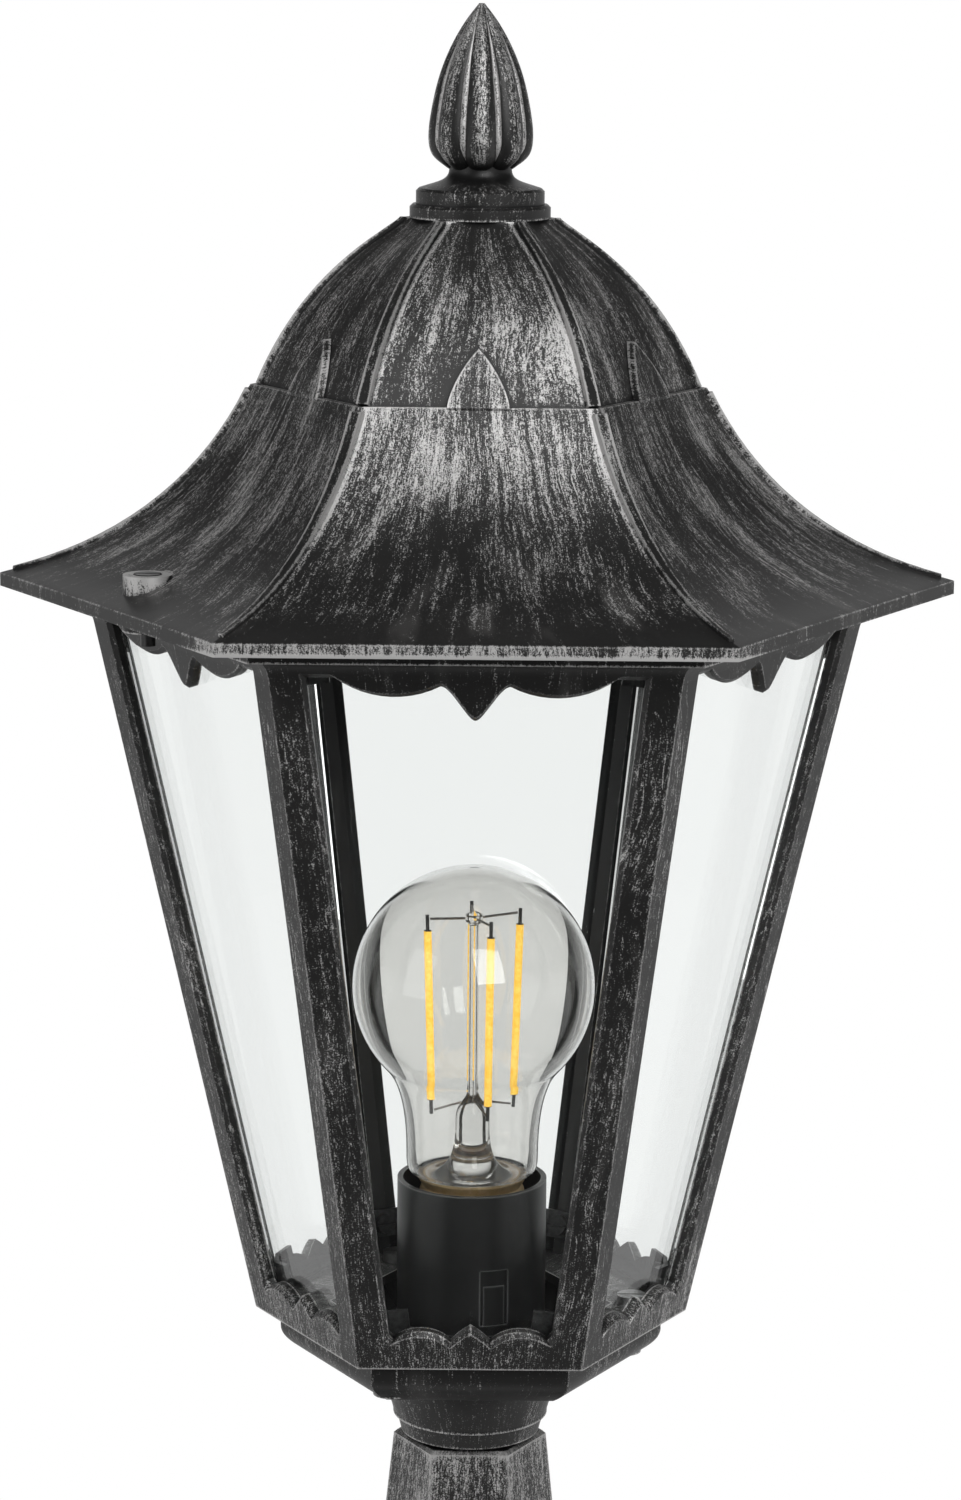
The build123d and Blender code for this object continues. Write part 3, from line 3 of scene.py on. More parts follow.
import bpy
from mathutils import Matrix, Vector
from mathutils.bvhtree import BVHTree


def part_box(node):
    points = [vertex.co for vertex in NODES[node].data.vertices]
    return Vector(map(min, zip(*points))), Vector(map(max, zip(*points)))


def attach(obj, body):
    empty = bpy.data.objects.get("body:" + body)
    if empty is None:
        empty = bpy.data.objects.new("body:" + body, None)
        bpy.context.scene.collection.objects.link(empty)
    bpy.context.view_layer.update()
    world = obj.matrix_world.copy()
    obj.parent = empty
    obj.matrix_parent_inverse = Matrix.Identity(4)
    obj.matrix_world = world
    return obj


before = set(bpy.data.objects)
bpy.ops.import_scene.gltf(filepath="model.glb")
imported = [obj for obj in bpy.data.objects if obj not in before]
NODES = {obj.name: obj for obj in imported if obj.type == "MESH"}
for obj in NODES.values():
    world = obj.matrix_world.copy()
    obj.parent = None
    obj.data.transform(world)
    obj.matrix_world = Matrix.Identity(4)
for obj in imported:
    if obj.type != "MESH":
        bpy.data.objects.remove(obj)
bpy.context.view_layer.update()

MM = 0.001

# The photograph's frame and the camera that matches it, in pixels, metres and degrees
PHOTO_HEIGHT = 1500
FOCAL_PIXELS = 4279.0
SENSOR_HEIGHT = 36.0
CAMERA_PLACE = (0.0012, -1.0292, 0.4952)
CAMERA_PITCH = 11.01
CAMERA_ROLL = 0.5

# The studio, in metres and watts
FLOOR_RADIUS = 30.0
FLOOR_STEPS = 64
FLOOR_GREY = 0.80
SHADOW_INNER, SHADOW_OUTER = 0.10, 0.26
LAMP_AIM = Vector((0.0, 0.0, 0.30))
KEY_PLACE, KEY_SIZE, KEY_POWER = (0.45, -1.35, 1.25), (0.9, 1.3), 20.0
FILL_PLACE, FILL_SIZE, FILL_POWER = (-1.1, -0.75, 0.65), (0.7, 1.0), 2.5
ROOM_GREY, ROOM_FRONT_GREY = 0.42, 0.28
ROOM_FRONT_START, ROOM_FRONT_END = -0.15, -0.70

# What reflections see: a white background behind, bright sides and a dark rest, by direction
MIRROR_DARK, MIRROR_SIDE, MIRROR_SIDE_FLOOR = 0.05, 0.6, 0.7
SIDE_START, SIDE_END = 0.40, 0.75
SIDE_TOP, SIDE_LOW = 0.26, 0.06
BEHIND_START, BEHIND_END = 0.78, 0.96

# Levels, and how far the eave reaches, read from the frame
RIM_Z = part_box("roof_skirt")[0].z
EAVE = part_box("roof_skirt")[1].x
LEDGE_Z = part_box("roof_dome")[0].z
RAIL_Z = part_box("lantern_cage")[0].z
BUD_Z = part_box("finial")[0].z
BUD_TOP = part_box("finial")[1].z
FILAMENT_LOW, FILAMENT_HIGH = (corner.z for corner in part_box("bulb_filaments"))

# Sizes that are the same in the part's source
BOSS_RADIUS = 5.8 * MM
PIN_LENGTH = 3.9 * MM
LOBES = 8

# The ribs in the finial's grooves: their ends are measured from the finial's, their tapers in shares
RIB_START, RIB_END = 10.5 * MM, 2.5 * MM
RIB_WIDTH, RIB_PROUD, RIB_SUNK = 2.0 * MM, 1.3 * MM, 0.1 * MM
RIB_STEPS, RIB_SIDES = 24, 10
RIB_SWELL, RIB_TAPER, RIB_THINNEST = 0.10, 0.45, 0.12
RAY_START = 50 * MM

# The black paint, and the silver on it, which lies where the grain is over a line that wear lowers
# The sheen grey is a painted sheen on lighter patches of paint, and the hollow grey a painted shade in
# hollows
PAINT_DARK, PAINT_LIGHT, PAINTED_SHEEN, PAINT_SHADE = 0.007, 0.014, 0.034, 0.004
PAINT_ROUGHNESS, PAINT_SPECULAR = 0.42, 0.38
SILVER_GREY, SILVER_ROUGHNESS, SILVER_METAL = 0.62, 0.58, 0.95
SILVER_LINE, SILVER_GAIN, SILVER_BLUR = 0.66, 0.32, 0.09
HOLLOW_LOSS = 0.80

# Openness at which a surface counts as flat and as a sharp edge, and the usual edges and hollows
OPEN_FLAT, OPEN_EDGE = 0.94, 0.62
EDGE = (0.9 * MM, 0.55)
# Hollows lose silver, as wear, and their paint darkens, as painted shade
HOLLOW = (3.5 * MM, 0.78, 0.30)

# The middle of a painted highlight on the dome's front, laid on as more silver, from the axis and from the
# dome's foot
HIGHLIGHT_ASIDE, HIGHLIGHT_ABOVE = 16 * MM, 13 * MM

GLASS_IOR = 1.46
# The filaments' coat gets a painted glow, though the lamp is not lit
COAT_PAINTED_GLOW = 0.80


class Shader:
    """A short way to write the nodes of one material or world."""

    def __init__(self, owner):
        self.owner = owner
        owner.use_nodes = True
        self.tree = owner.node_tree
        self.tree.nodes.clear()

    def feed(self, socket, value):
        if isinstance(value, bpy.types.NodeSocket):
            self.tree.links.new(value, socket)
        else:
            socket.default_value = value

    def node(self, kind, settings=None, **inputs):
        made = self.tree.nodes.new(kind)
        for name, value in (settings or {}).items():
            setattr(made, name, value)
        for name, value in inputs.items():
            self.feed(made.inputs[name.replace("_", " ")], value)
        return made

    def math(self, operation, *values):
        made = self.tree.nodes.new("ShaderNodeMath")
        made.operation = operation
        for socket, value in zip(made.inputs, values):
            self.feed(socket, value)
        return made.outputs[0]

    def add(self, first, *rest):
        for value in rest:
            first = self.math("ADD", first, value)
        return first

    def times(self, first, second):
        return self.math("MULTIPLY", first, second)

    def less(self, first, second):
        return self.math("SUBTRACT", first, second)

    def ramp(self, value, low, high, start=0.0, end=1.0):
        """A smooth step from start to end as value goes from low to high."""
        made = self.tree.nodes.new("ShaderNodeMapRange")
        made.interpolation_type = "SMOOTHSTEP"
        for name, item in (
            ("Value", value), ("From Min", low), ("From Max", high), ("To Min", start), ("To Max", end),
        ):
            self.feed(made.inputs[name], item)
        return made.outputs["Result"]

    def noise(self, vector, size, detail=2.0, roughness=0.5):
        """Noise whose blobs are about size metres across."""
        made = self.node("ShaderNodeTexNoise", Vector=vector, Scale=1.0 / size)
        made.inputs["Detail"].default_value = detail
        made.inputs["Roughness"].default_value = roughness
        return made.outputs["Fac"]

    def mix(self, factor, first, second):
        made = self.tree.nodes.new("ShaderNodeMix")
        made.data_type = "RGBA"
        self.feed(made.inputs[0], factor)
        self.feed(made.inputs[6], first)
        self.feed(made.inputs[7], second)
        return made.outputs[2]

    def mix_shaders(self, factor, first, second):
        made = self.node("ShaderNodeMixShader", Fac=factor)
        self.feed(made.inputs[1], first.outputs[0])
        self.feed(made.inputs[2], second.outputs[0])
        return made

    def place(self):
        return self.tree.nodes.new("ShaderNodeTexCoord").outputs["Object"]

    def split(self, vector):
        return self.node("ShaderNodeSeparateXYZ", Vector=vector).outputs

    def join(self, x, y, z):
        return self.node("ShaderNodeCombineXYZ", X=x, Y=y, Z=z).outputs[0]

    def occlusion(self, distance, inside):
        settings = {"samples": 8, "inside": inside}
        return self.node("ShaderNodeAmbientOcclusion", settings, Distance=distance).outputs["AO"]

    def edge_wear_and_highlight(self, distance):
        """One on sharp edges and nought on flats, over about distance: for edge wear and painted edge
        highlights.
        """
        return self.ramp(self.occlusion(distance, True), OPEN_FLAT, OPEN_EDGE)

    def length(self, x, y):
        return self.math("SQRT", self.add(self.times(x, x), self.times(y, y)))

    def share(self, part, whole):
        """The size of part as a share of whole."""
        return self.math("DIVIDE", self.math("ABSOLUTE", part), whole)

    def aside(self, angle, half, radius):
        """How far a point lies from the middle of its sector, which spans half to each side."""
        turn = self.math("WRAP", angle, half, -half)
        return self.times(self.math("ABSOLUTE", self.math("SINE", turn)), radius)

    def sway(self, noise, reach):
        """Noise turned into a number that goes reach / 2 either way of nought."""
        return self.times(self.less(noise, 0.5), reach)

    def band(self, value, low, high, blur):
        """One between low and high, nought outside, with soft ends."""
        rise = self.ramp(value, low - blur, low + blur)
        return self.times(rise, self.ramp(value, high + blur, high - blur))

    def bump(self, height, distance, strength=1.0):
        return self.node("ShaderNodeBump", Height=height, Distance=distance, Strength=strength).outputs[0]

    def looks(self):
        """Two numbers, one or nought: a ray straight from the eye or through glass, and one off a gloss."""
        path = self.tree.nodes.new("ShaderNodeLightPath").outputs
        matte = self.math("MINIMUM", path["Diffuse Depth"], 1.0)
        gloss = self.math("MINIMUM", path["Glossy Depth"], 1.0)
        direct = self.math("MAXIMUM", path["Is Camera Ray"], path["Is Transmission Ray"])
        direct = self.less(self.less(direct, matte), gloss)
        return self.math("MAXIMUM", direct, 0.0), self.math("MAXIMUM", self.less(gloss, matte), 0.0)

    def principled(self, **inputs):
        return self.node("ShaderNodeBsdfPrincipled", **inputs)

    def finish(self, shader):
        kind = "World" if isinstance(self.owner, bpy.types.World) else "Material"
        output = self.tree.nodes.new("ShaderNodeOutput" + kind)
        self.tree.links.new(shader.outputs[0], output.inputs["Surface"])
        return self.owner


def new_shader(name):
    return Shader(bpy.data.materials.new(name))


def grey(value, warm=0.0):
    return (value * (1 + warm), value, value * (1 - warm), 1.0)


def hip_lines(s, x, y, radius):
    """Silver along both edges of the roof's hip battens, dark between them, fading out over the skirt."""
    aside = s.aside(s.math("ARCTAN2", y, x), math.radians(30), radius)
    edges = s.band(aside, 1.2 * MM, 2.3 * MM, 0.4 * MM)
    verge = s.times(s.ramp(aside, 2.2 * MM, 2.8 * MM), s.ramp(aside, 8.0 * MM, 2.8 * MM))
    middle = s.ramp(aside, 1.1 * MM, 0.5 * MM)
    lines = s.less(s.add(edges, s.times(verge, 0.12)), s.times(middle, 0.30))
    lines = s.times(lines, s.ramp(radius, 62 * MM, 104 * MM, 1.0, 0.10))
    return s.times(lines, s.ramp(s.share(x, radius), 0.80, 0.95, 1.0, 0.25))


def boss_silver(s, x, y):
    """One inside the outlines of the two screw bosses on the skirt."""
    inside = 0.0
    for name in ("roof_screw_left", "roof_screw_right"):
        low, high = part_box(name)
        middle = (low + high) / 2
        away = s.length(s.less(x, middle.x), s.less(y, middle.y))
        boss = s.ramp(away, BOSS_RADIUS + 0.25 * MM, BOSS_RADIUS + 0.05 * MM)
        inside = s.math("MAXIMUM", inside, boss)
    return inside


def skirt_silver_and_painted_light(s, x, y, z, radius):
    """More silver up the skirt, partly a painted highlight on the upper front and back panels, a dark hem
    above the rim, a silvered rim bright at its foot, and bosses.
    """
    low, high = RIM_Z + 6 * MM, LEDGE_Z - 6 * MM
    # Higher up, the front and back panels get more silver than the side panels: wear, and partly a painted
    # highlight of the frontal light
    front_panel = s.ramp(z, low, high, -0.18, 0.10)
    side_panel = s.ramp(z, low, high, -0.08, -0.02)
    rising_and_front_highlight = s.ramp(s.share(x, radius), 0.49, 0.57, front_panel, side_panel)
    above = s.ramp(z, RIM_Z + 2.9 * MM, RIM_Z + 3.3 * MM)
    hem = s.times(above, s.ramp(z, RIM_Z + 9 * MM, RIM_Z + 4 * MM))
    below = s.ramp(z, RIM_Z + 3.2 * MM, RIM_Z + 2.9 * MM)
    face = s.times(s.ramp(radius, 0.845 * EAVE, 0.86 * EAVE), below)
    foot = s.times(face, s.ramp(z, RIM_Z + 1.2 * MM, RIM_Z + 0.5 * MM))
    front = s.ramp(s.share(y, radius), 0.78, 0.88, -0.22, 0.36)
    amount = s.add(s.less(rising_and_front_highlight, s.times(hem, 0.30)), s.times(face, front))
    amount = s.add(amount, s.times(s.times(foot, front), 1.3))
    return s.add(amount, s.times(boss_silver(s, x, y), 0.55))


def dome_silver_and_painted_light(s, x, y, z, radius):
    """Less silver towards the dome's top and on its side panels, the latter a painted shade, and more in one
    place beside the leaf, a painted highlight.
    """
    top = s.ramp(z, LEDGE_Z + 18 * MM, LEDGE_Z + 40 * MM, 0.0, -0.14)
    # A painted highlight: more silver in one place beside the leaf
    away = s.length(s.less(x, HIGHLIGHT_ASIDE), s.less(z, LEDGE_Z + HIGHLIGHT_ABOVE))
    painted_highlight = s.ramp(away, 15 * MM, 3 * MM, 0.0, 0.26)
    return s.add(top, painted_highlight, s.ramp(s.share(x, radius), 0.50, 0.75, 0.0, -0.10))


def side_painted_sheen(s, x, y, z, radius):
    """More silver on the faces that look to either side, a painted sheen where the light grazes them."""
    return s.ramp(s.share(x, radius), 0.45, 0.80, 0.0, 0.16)


def cage_painted_sheen_and_shadow(s, x, y, z, radius):
    """More silver on the sides of the cage's lower rail, a painted sheen, and less under the eave, a painted
    shadow.
    """
    low = s.times(s.ramp(z, RAIL_Z + 24 * MM, RAIL_Z + 12 * MM), side_painted_sheen(s, x, y, z, radius))
    # Less silver just under the eave is a painted shadow
    return s.add(low, s.ramp(z, RIM_Z - 24 * MM, RIM_Z - 12 * MM, 0.0, -0.18))


def bud_silver(s, x, y, z, radius):
    """Silver on the crests of the finial's lobes, less on their flanks and on the flange."""
    angle = s.add(s.math("ARCTAN2", y, x), math.pi / 2)
    aside = s.aside(angle, math.pi / LOBES, radius)
    crest = s.ramp(aside, 3.0 * MM, 0.5 * MM, -0.22, 0.24)
    crest = s.times(crest, s.ramp(z, BUD_Z + 8 * MM, BUD_Z + 10 * MM))
    return s.add(crest, s.ramp(z, BUD_Z + 3 * MM, BUD_Z + 8 * MM, -0.06, 0.0))


def patina(name, reach, wear, streak, tone=1.0, hips=0.0, more=None, edge=EDGE, hollow=HOLLOW):
    """Black paint dry brushed with silver: flecks and hairs run down the slope, edges are worn bright, and
    the paint has patches of painted sheen and painted shade in its hollows.

    reach is the radius that the streaks are sized for, wear how much silver lies on the flats, streak how
    far the brush marks vary, tone how light the black is, hips how strongly the roof's battens are worn
    silver, more a function that adds silver by place, partly as painted light, edge how wide and how
    strongly edges are worn silver, and hollow the size of the hollows that stay black, with painted shade,
    and how open and how closed they are.
    """
    s = new_shader(name)
    place = s.place()
    x, y, z = s.split(place)
    radius = s.math("MAXIMUM", s.length(x, y), 1e-5)
    out_x, out_y = (s.math("DIVIDE", part, radius) for part in (x, y))
    drift = s.sway(s.noise(place, 30 * MM, 1.0), 6 * MM)
    around = [s.math("MULTIPLY_ADD", part, reach, drift) for part in (out_x, out_y)]
    slope = s.less(radius, z)

    def brushed(run, size, detail, roughness=0.5):
        """Noise drawn out down the slope, the longer the smaller run is."""
        return s.noise(s.join(*around, s.times(slope, run)), size, detail, roughness)

    hairs = brushed(run=0.20, size=0.42 * MM, detail=2.0, roughness=0.6)
    strokes = brushed(run=0.06, size=1.8 * MM, detail=3.0, roughness=0.65)
    scratches = brushed(run=0.02, size=0.5 * MM, detail=1.0)
    broad_streaks_and_sheen = brushed(run=0.25, size=9 * MM, detail=2.0)
    specks = s.noise(place, size=0.36 * MM, detail=2.0, roughness=0.7)
    patches = s.noise(place, size=26 * MM, detail=2.0)
    edge_width, edge_silver = edge
    hollow_width, hollow_open, hollow_closed = hollow
    # Hollows lose silver as wear, and their paint darkens as painted shade
    hollow_wear_and_shade = s.ramp(s.occlusion(hollow_width, False), hollow_open, hollow_closed)
    amount = s.add(s.sway(strokes, streak), s.sway(patches, 0.38 * streak))
    amount = s.add(amount, s.sway(broad_streaks_and_sheen, 0.7 * streak), wear)
    amount = s.add(amount, s.ramp(scratches, 0.68, 0.76, 0.0, 0.35))
    if hips:
        amount = s.add(amount, s.times(hip_lines(s, x, y, radius), hips))
    if more:
        amount = s.add(amount, more(s, x, y, z, radius))
    amount = s.add(amount, s.times(s.edge_wear_and_highlight(edge_width), edge_silver))
    amount = s.less(amount, s.times(hollow_wear_and_shade, HOLLOW_LOSS))

    # Faces that look inwards stay black
    outward = s.node("ShaderNodeVectorMath", {"operation": "DOT_PRODUCT"})
    s.feed(outward.inputs[0], s.tree.nodes.new("ShaderNodeTexCoord").outputs["Normal"])
    s.feed(outward.inputs[1], s.join(out_x, out_y, 0.0))
    amount = s.less(amount, s.ramp(outward.outputs["Value"], -0.35, -0.65))

    grain = s.add(s.times(hairs, 0.45), s.times(specks, 0.55))
    line = s.less(SILVER_LINE, s.times(amount, SILVER_GAIN))
    silver = s.ramp(grain, s.less(line, SILVER_BLUR), s.add(line, SILVER_BLUR))
    paint = s.mix(patches, grey(PAINT_DARK * tone), grey(PAINT_LIGHT * tone, 0.03))
    # Lighter smooth patches of paint are a painted sheen
    paint = s.mix(s.ramp(broad_streaks_and_sheen, 0.54, 0.72, 0.0, 0.8), paint, grey(PAINTED_SHEEN * tone, 0.03))
    # Painted shade: the paint darkens in hollows
    paint = s.mix(hollow_wear_and_shade, paint, grey(PAINT_SHADE))
    height = s.add(s.times(silver, 0.5), s.noise(place, 2.5 * MM, 2.0))
    return s.finish(s.principled(
        Base_Color=s.mix(silver, paint, grey(SILVER_GREY, 0.01)),
        Roughness=s.ramp(silver, 0.0, 1.0, PAINT_ROUGHNESS, SILVER_ROUGHNESS),
        Metallic=s.times(silver, SILVER_METAL), Specular_IOR_Level=PAINT_SPECULAR,
        Normal=s.bump(height, 0.04 * MM, 0.6),
    ))


def clear_glass(name, tint, rim, ripple, clear=1.0):
    """Clear or slightly milky glass, darker where it is seen edge on, a painted dark reflection, that lets
    the lamps' light through.
    """
    s = new_shader(name)
    wave = s.noise(s.place(), ripple, 1.0)
    facing = s.node("ShaderNodeLayerWeight", Blend=0.5).outputs["Facing"]
    # The edge-on darkening is painted: it stands for dark surroundings reflected at the glass's edge
    shader = s.principled(
        Base_Color=s.mix(s.ramp(facing, 0.55, 1.0), tint, rim), Roughness=0.0, IOR=GLASS_IOR,
        Transmission_Weight=clear, Normal=s.bump(wave, 0.05 * MM, 0.1),
    )
    passing = s.node("ShaderNodeBsdfTransparent", Color=tint)
    shadow = s.tree.nodes.new("ShaderNodeLightPath").outputs["Is Shadow Ray"]
    return s.finish(s.mix_shaders(shadow, shader, passing))


def plain(name, low, high, roughness, metal=0.0, size=1.5 * MM, depth=0.03 * MM, edge_wear_and_highlight=None):
    """A solid finish whose colour, gloss and surface vary with a fine grain. Its last argument is its edges'
    colour, a painted edge highlight.
    """
    s = new_shader(name)
    place = s.place()
    grain = s.noise(place, size, 3.0, 0.6)
    cloud = s.noise(place, 14 * size, 2.0)
    blend = s.add(s.times(grain, 0.5), s.times(cloud, 0.5))
    colour = s.mix(s.ramp(blend, 0.3, 0.7), low, high)
    if edge_wear_and_highlight:
        # Painted highlight along sharp edges
        colour = s.mix(s.edge_wear_and_highlight(0.5 * MM), colour, edge_wear_and_highlight)
    return s.finish(s.principled(
        Base_Color=colour, Roughness=s.ramp(cloud, 0.2, 0.8, 0.85 * roughness, 1.15 * roughness),
        Metallic=metal, Normal=s.bump(grain, depth, 0.5),
    ))


def phosphor(name):
    """The yellow coat of a lamp's filaments, deeper in places, with dark metal pins at the ends; the coat
    has a painted glow, though the lamp is not lit.
    """
    s = new_shader(name)
    place = s.place()
    z = s.split(place)[2]
    tone = s.noise(place, 1.2 * MM, 2.0)
    coat = s.mix(s.ramp(tone, 0.3, 0.7), (0.96, 0.55, 0.07, 1), (1.0, 0.67, 0.14, 1))
    steel = s.mix(tone, grey(0.02), grey(0.10))
    middle = (FILAMENT_LOW + FILAMENT_HIGH) / 2
    half = (FILAMENT_HIGH - FILAMENT_LOW) / 2 - PIN_LENGTH
    coated = s.ramp(s.math("ABSOLUTE", s.less(z, middle)), half, half - 0.2 * MM)
    colour = s.mix(coated, steel, coat)
    # Painted glow: the coat emits light, though the lamp is not lit
    return s.finish(s.principled(
        Base_Color=colour, Roughness=0.5,
        Emission_Color=colour, Emission_Strength=s.times(coated, COAT_PAINTED_GLOW),
    ))


def studio_floor():
    """A pale floor: white to the eye far off, shadowed near the object, and mirrored as a studio."""
    s = new_shader("studio_floor")
    x, y = s.split(s.place())[:2]
    away = s.length(x, y)
    seen, mirrored = s.looks()
    far = s.times(s.math("MAXIMUM", seen, mirrored), s.ramp(away, SHADOW_INNER, SHADOW_OUTER))
    beside = s.ramp(s.share(x, away), SIDE_START, SIDE_END, MIRROR_DARK, MIRROR_SIDE_FLOOR)
    behind = s.ramp(s.math("DIVIDE", y, away), BEHIND_START, BEHIND_END)
    shown = s.mix(s.math("MAXIMUM", seen, behind), s.join(beside, beside, beside), grey(1.0))
    matte = s.node("ShaderNodeBsdfDiffuse", Color=grey(FLOOR_GREY))
    white = s.node("ShaderNodeEmission", Color=shown, Strength=1.0)
    return s.finish(s.mix_shaders(far, matte, white))


def dress(node, material):
    data = NODES[node].data
    data.materials.clear()
    data.materials.append(material)
    for face in data.polygons:
        face.material_index = 0


def finishes():
    """Gives every CAD node its finish."""
    roof = patina("roof_patina", 85 * MM, 0.25, 1.3, 1.3, 0.6, skirt_silver_and_painted_light)
    # The dome's small hollows darken, as painted shade, a line under the ledge and around the leaf
    dome = patina(
        "dome_patina", 45 * MM, 0.26, 1.3, 1.3, 0.6, dome_silver_and_painted_light, hollow=(1.8 * MM, 0.95, 0.62),
    )
    cage = patina("cage_patina", 75 * MM, 0.11, 0.7, more=cage_painted_sheen_and_shadow, edge=(0.8 * MM, 0.80))
    # The stand's wide worn edges are silver wear and partly a painted highlight of rounded edges
    stand = patina("stand_patina", 20 * MM, 0.37, 0.9, tone=1.45, edge=(2.2 * MM, 0.85))
    # The tray's side faces get more silver as a painted sheen
    tray = patina("tray_patina", 35 * MM, -0.02, 0.5, tone=1.25, more=side_painted_sheen)
    # The finial's wide hollows darken its grooves as painted shade
    bud = patina(
        "bud_patina", 12 * MM, 0.15, 0.6, more=bud_silver, edge=(1.0 * MM, 0.30),
        hollow=(5 * MM, 0.97, 0.66),
    )
    collar = patina("collar_patina", 16 * MM, -0.05, 0.5)
    glass = clear_glass("pane_glass", (0.985, 0.998, 0.992, 1), (0.84, 0.90, 0.89, 1), 40 * MM)
    lamp_glass = clear_glass("lamp_glass", (0.885, 0.88, 0.865, 1), grey(0.66), 20 * MM)
    stem_glass = clear_glass("stem_glass", grey(0.98), grey(0.80), 3 * MM, 0.97)
    rubber = plain("rubber_black", grey(0.008), grey(0.02), 0.75)
    steel = plain("zinc_steel", grey(0.42), grey(0.60), 0.32, 1.0)
    dark_steel = plain("dark_steel", grey(0.03), grey(0.09), 0.38, 0.8)
    brass = plain("brass", (0.55, 0.36, 0.12, 1), (0.78, 0.56, 0.24, 1), 0.28, 1.0)
    # The holder's lighter edges are a painted highlight
    holder = plain(
        "holder_black", grey(0.006), grey(0.010), 0.36, size=4 * MM, depth=0.004 * MM, edge_wear_and_highlight=grey(0.08),
    )
    by_material = {
        roof: ["roof_skirt"],
        dome: ["roof_dome"],
        cage: ["lantern_cage"],
        stand: ["foot", "post"],
        tray: ["lantern_base"],
        bud: ["finial"],
        collar: ["finial_collar"],
        glass: [name for name in NODES if name.startswith("glass_pane")],
        lamp_glass: ["bulb_envelope"],
        stem_glass: ["bulb_stem"],
        rubber: ["cable_grommet", "neck_gasket", "tray_gasket", "roof_gasket"],
        steel: [
            "post_screws", "terminal_fixing", "tray_screws", "threaded_tube", "post_washer", "post_nut",
            "lock_nut", "finial_stud", "bridge_bar", "stud_washer", "stud_nut",
        ],
        dark_steel: ["roof_screw_left", "roof_screw_right", "pane_clips", "pane_clip_screws"],
        brass: ["terminal_screws", "earth_screw", "screw_shell", "centre_contact"],
        holder: ["lampholder_base", "lampholder_shell"],
        plain("terminal_white", grey(0.70, 0.02), grey(0.80, 0.02), 0.5): ["terminal_block"],
        plain("live_brown", (0.10, 0.035, 0.012, 1), (0.16, 0.06, 0.02, 1), 0.4): ["live_lead"],
        plain("neutral_blue", (0.01, 0.05, 0.30, 1), (0.02, 0.08, 0.40, 1), 0.4): ["neutral_lead"],
        plain("earth_green", (0.10, 0.25, 0.02, 1), (0.35, 0.42, 0.03, 1), 0.4): ["earth_lead"],
        plain("ceramic", grey(0.66, 0.04), grey(0.76, 0.03), 0.6): ["lampholder_core"],
        plain("solder", grey(0.48), grey(0.60), 0.4, 0.9): ["bulb_contact"],
        plain("vitrite", grey(0.012), grey(0.03), 0.15): ["bulb_insulator"],
        plain("cap_brass", (0.60, 0.43, 0.22, 1), (0.80, 0.62, 0.38, 1), 0.42, 0.8): ["bulb_cap"],
        plain("board_copper", (0.26, 0.11, 0.05, 1), (0.44, 0.22, 0.12, 1), 0.4, 0.3): ["bulb_driver"],
        phosphor("phosphor"): ["bulb_filaments"],
        plain("lead_wire", grey(0.20, 0.05), grey(0.34, 0.05), 0.35, 0.9): ["bulb_leads"],
    }
    for material, names in by_material.items():
        for name in names:
            dress(name, material)


def new_object(name, points, faces, material):
    mesh = bpy.data.meshes.new(name)
    mesh.from_pydata(points, [], faces)
    mesh.materials.append(material)
    made = bpy.data.objects.new(name, mesh)
    bpy.context.scene.collection.objects.link(made)
    return made


def finial_ribs():
    """Thin ribs in the grooves between the finial's lobes, laid along the finial's own surface."""
    data = NODES["finial"].data
    corners = [list(face.vertices) for face in data.polygons]
    surface = BVHTree.FromPolygons([point.co for point in data.vertices], corners)
    low = BUD_Z + RIB_START
    high = BUD_TOP - RIB_END
    points, faces = [], []
    for k in range(LOBES):
        angle = 2 * math.pi * (k + 0.5) / LOBES - math.pi / 2
        out = Vector((math.cos(angle), math.sin(angle), 0.0))
        side = Vector((-out.y, out.x, 0.0))
        first = len(points)
        for step in range(RIB_STEPS + 1):
            share = step / RIB_STEPS
            full = max(RIB_THINNEST, min(1.0, share / RIB_SWELL, (1 - share) / RIB_TAPER))
            up = Vector((0.0, 0.0, low + (high - low) * share))
            ground = surface.ray_cast(up + out * RAY_START, -out)[0]
            for turn in range(RIB_SIDES):
                bend = 2 * math.pi * turn / RIB_SIDES
                rise = out * (RIB_PROUD * full * math.cos(bend) - RIB_SUNK)
                points.append(ground + rise + side * (RIB_WIDTH / 2 * full * math.sin(bend)))
        for step in range(RIB_STEPS):
            ring = first + step * RIB_SIDES
            for turn in range(RIB_SIDES):
                here, beside = ring + turn, ring + (turn + 1) % RIB_SIDES
                faces.append((here, beside, beside + RIB_SIDES, here + RIB_SIDES))
        last = first + RIB_STEPS * RIB_SIDES
        faces.append(tuple(range(first + RIB_SIDES - 1, first - 1, -1)))
        faces.append(tuple(range(last, last + RIB_SIDES)))
    finish = patina(
        "rib_patina", 12 * MM, 0.58, 0.6, edge=(0.6 * MM, 0.2), hollow=(1.0 * MM, 0.5, 0.2),
    )
    ribs = new_object("finial_ribs", points, faces, finish)
    for face in ribs.data.polygons:
        face.use_smooth = True
    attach(ribs, "roof")


def lay_floor():
    turns = [2 * math.pi * k / FLOOR_STEPS for k in range(FLOOR_STEPS)]
    ring = [(FLOOR_RADIUS * math.cos(turn), FLOOR_RADIUS * math.sin(turn), 0.0) for turn in turns]
    floor = new_object("floor", ring, [list(range(FLOOR_STEPS))], studio_floor())


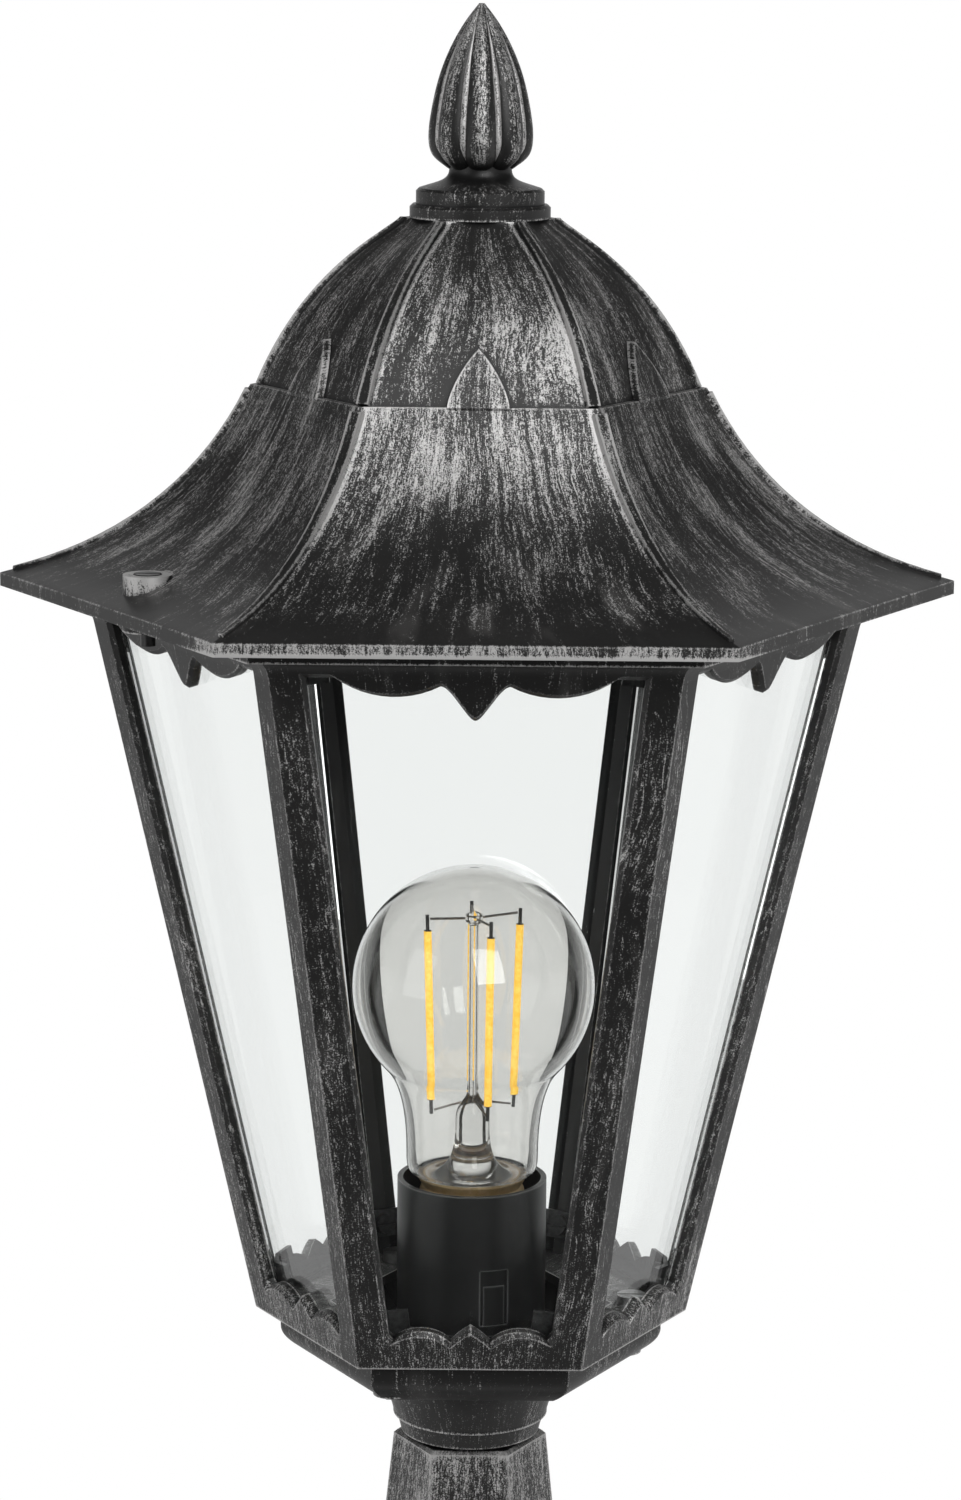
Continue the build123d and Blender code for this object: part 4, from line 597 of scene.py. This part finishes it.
def softbox(name, place, size, power):
    data = bpy.data.lights.new(name, "AREA")
    data.shape = "RECTANGLE"
    data.size, data.size_y = size
    data.energy = power
    lamp = bpy.data.objects.new(name, data)
    lamp.location = place
    lamp.rotation_euler = (LAMP_AIM - Vector(place)).to_track_quat("-Z", "Y").to_euler()
    bpy.context.scene.collection.objects.link(lamp)


def light_world():
    """White all round to the eye, a soft room for the object's light, and a studio in reflections."""
    world = bpy.data.worlds.new("studio")
    bpy.context.scene.world = world
    s = Shader(world)
    x, y, z = s.split(s.tree.nodes.new("ShaderNodeTexCoord").outputs["Generated"])
    seen, mirrored = s.looks()
    soft = s.mix(s.ramp(y, ROOM_FRONT_START, ROOM_FRONT_END), grey(ROOM_GREY), grey(ROOM_FRONT_GREY))
    sides = s.ramp(s.math("ABSOLUTE", x), SIDE_START, SIDE_END)
    sides = s.times(sides, s.ramp(z, SIDE_TOP, SIDE_LOW))
    studio = s.mix(sides, grey(MIRROR_DARK), grey(MIRROR_SIDE))
    studio = s.mix(s.ramp(y, BEHIND_START, BEHIND_END), studio, grey(1.0))
    room = s.mix(mirrored, soft, studio)
    s.finish(s.node("ShaderNodeBackground", Color=s.mix(seen, room, grey(1.0)), Strength=1.0))


def set_camera():
    data = bpy.data.cameras.new("camera")
    data.sensor_fit = "VERTICAL"
    data.sensor_height = SENSOR_HEIGHT
    data.lens = FOCAL_PIXELS / PHOTO_HEIGHT * SENSOR_HEIGHT
    camera = bpy.data.objects.new("camera", data)
    tilt = Matrix.Rotation(math.radians(90 - CAMERA_PITCH), 4, "X")
    roll = Matrix.Rotation(math.radians(CAMERA_ROLL), 4, "Z")
    camera.matrix_world = Matrix.Translation(CAMERA_PLACE) @ tilt @ roll
    bpy.context.scene.collection.objects.link(camera)
    bpy.context.scene.camera = camera


set_camera()
lay_floor()
light_world()
softbox("key", KEY_PLACE, KEY_SIZE, KEY_POWER)
softbox("fill", FILL_PLACE, FILL_SIZE, FILL_POWER)
finishes()
finial_ribs()
bpy.context.scene.view_settings.view_transform = "Standard"
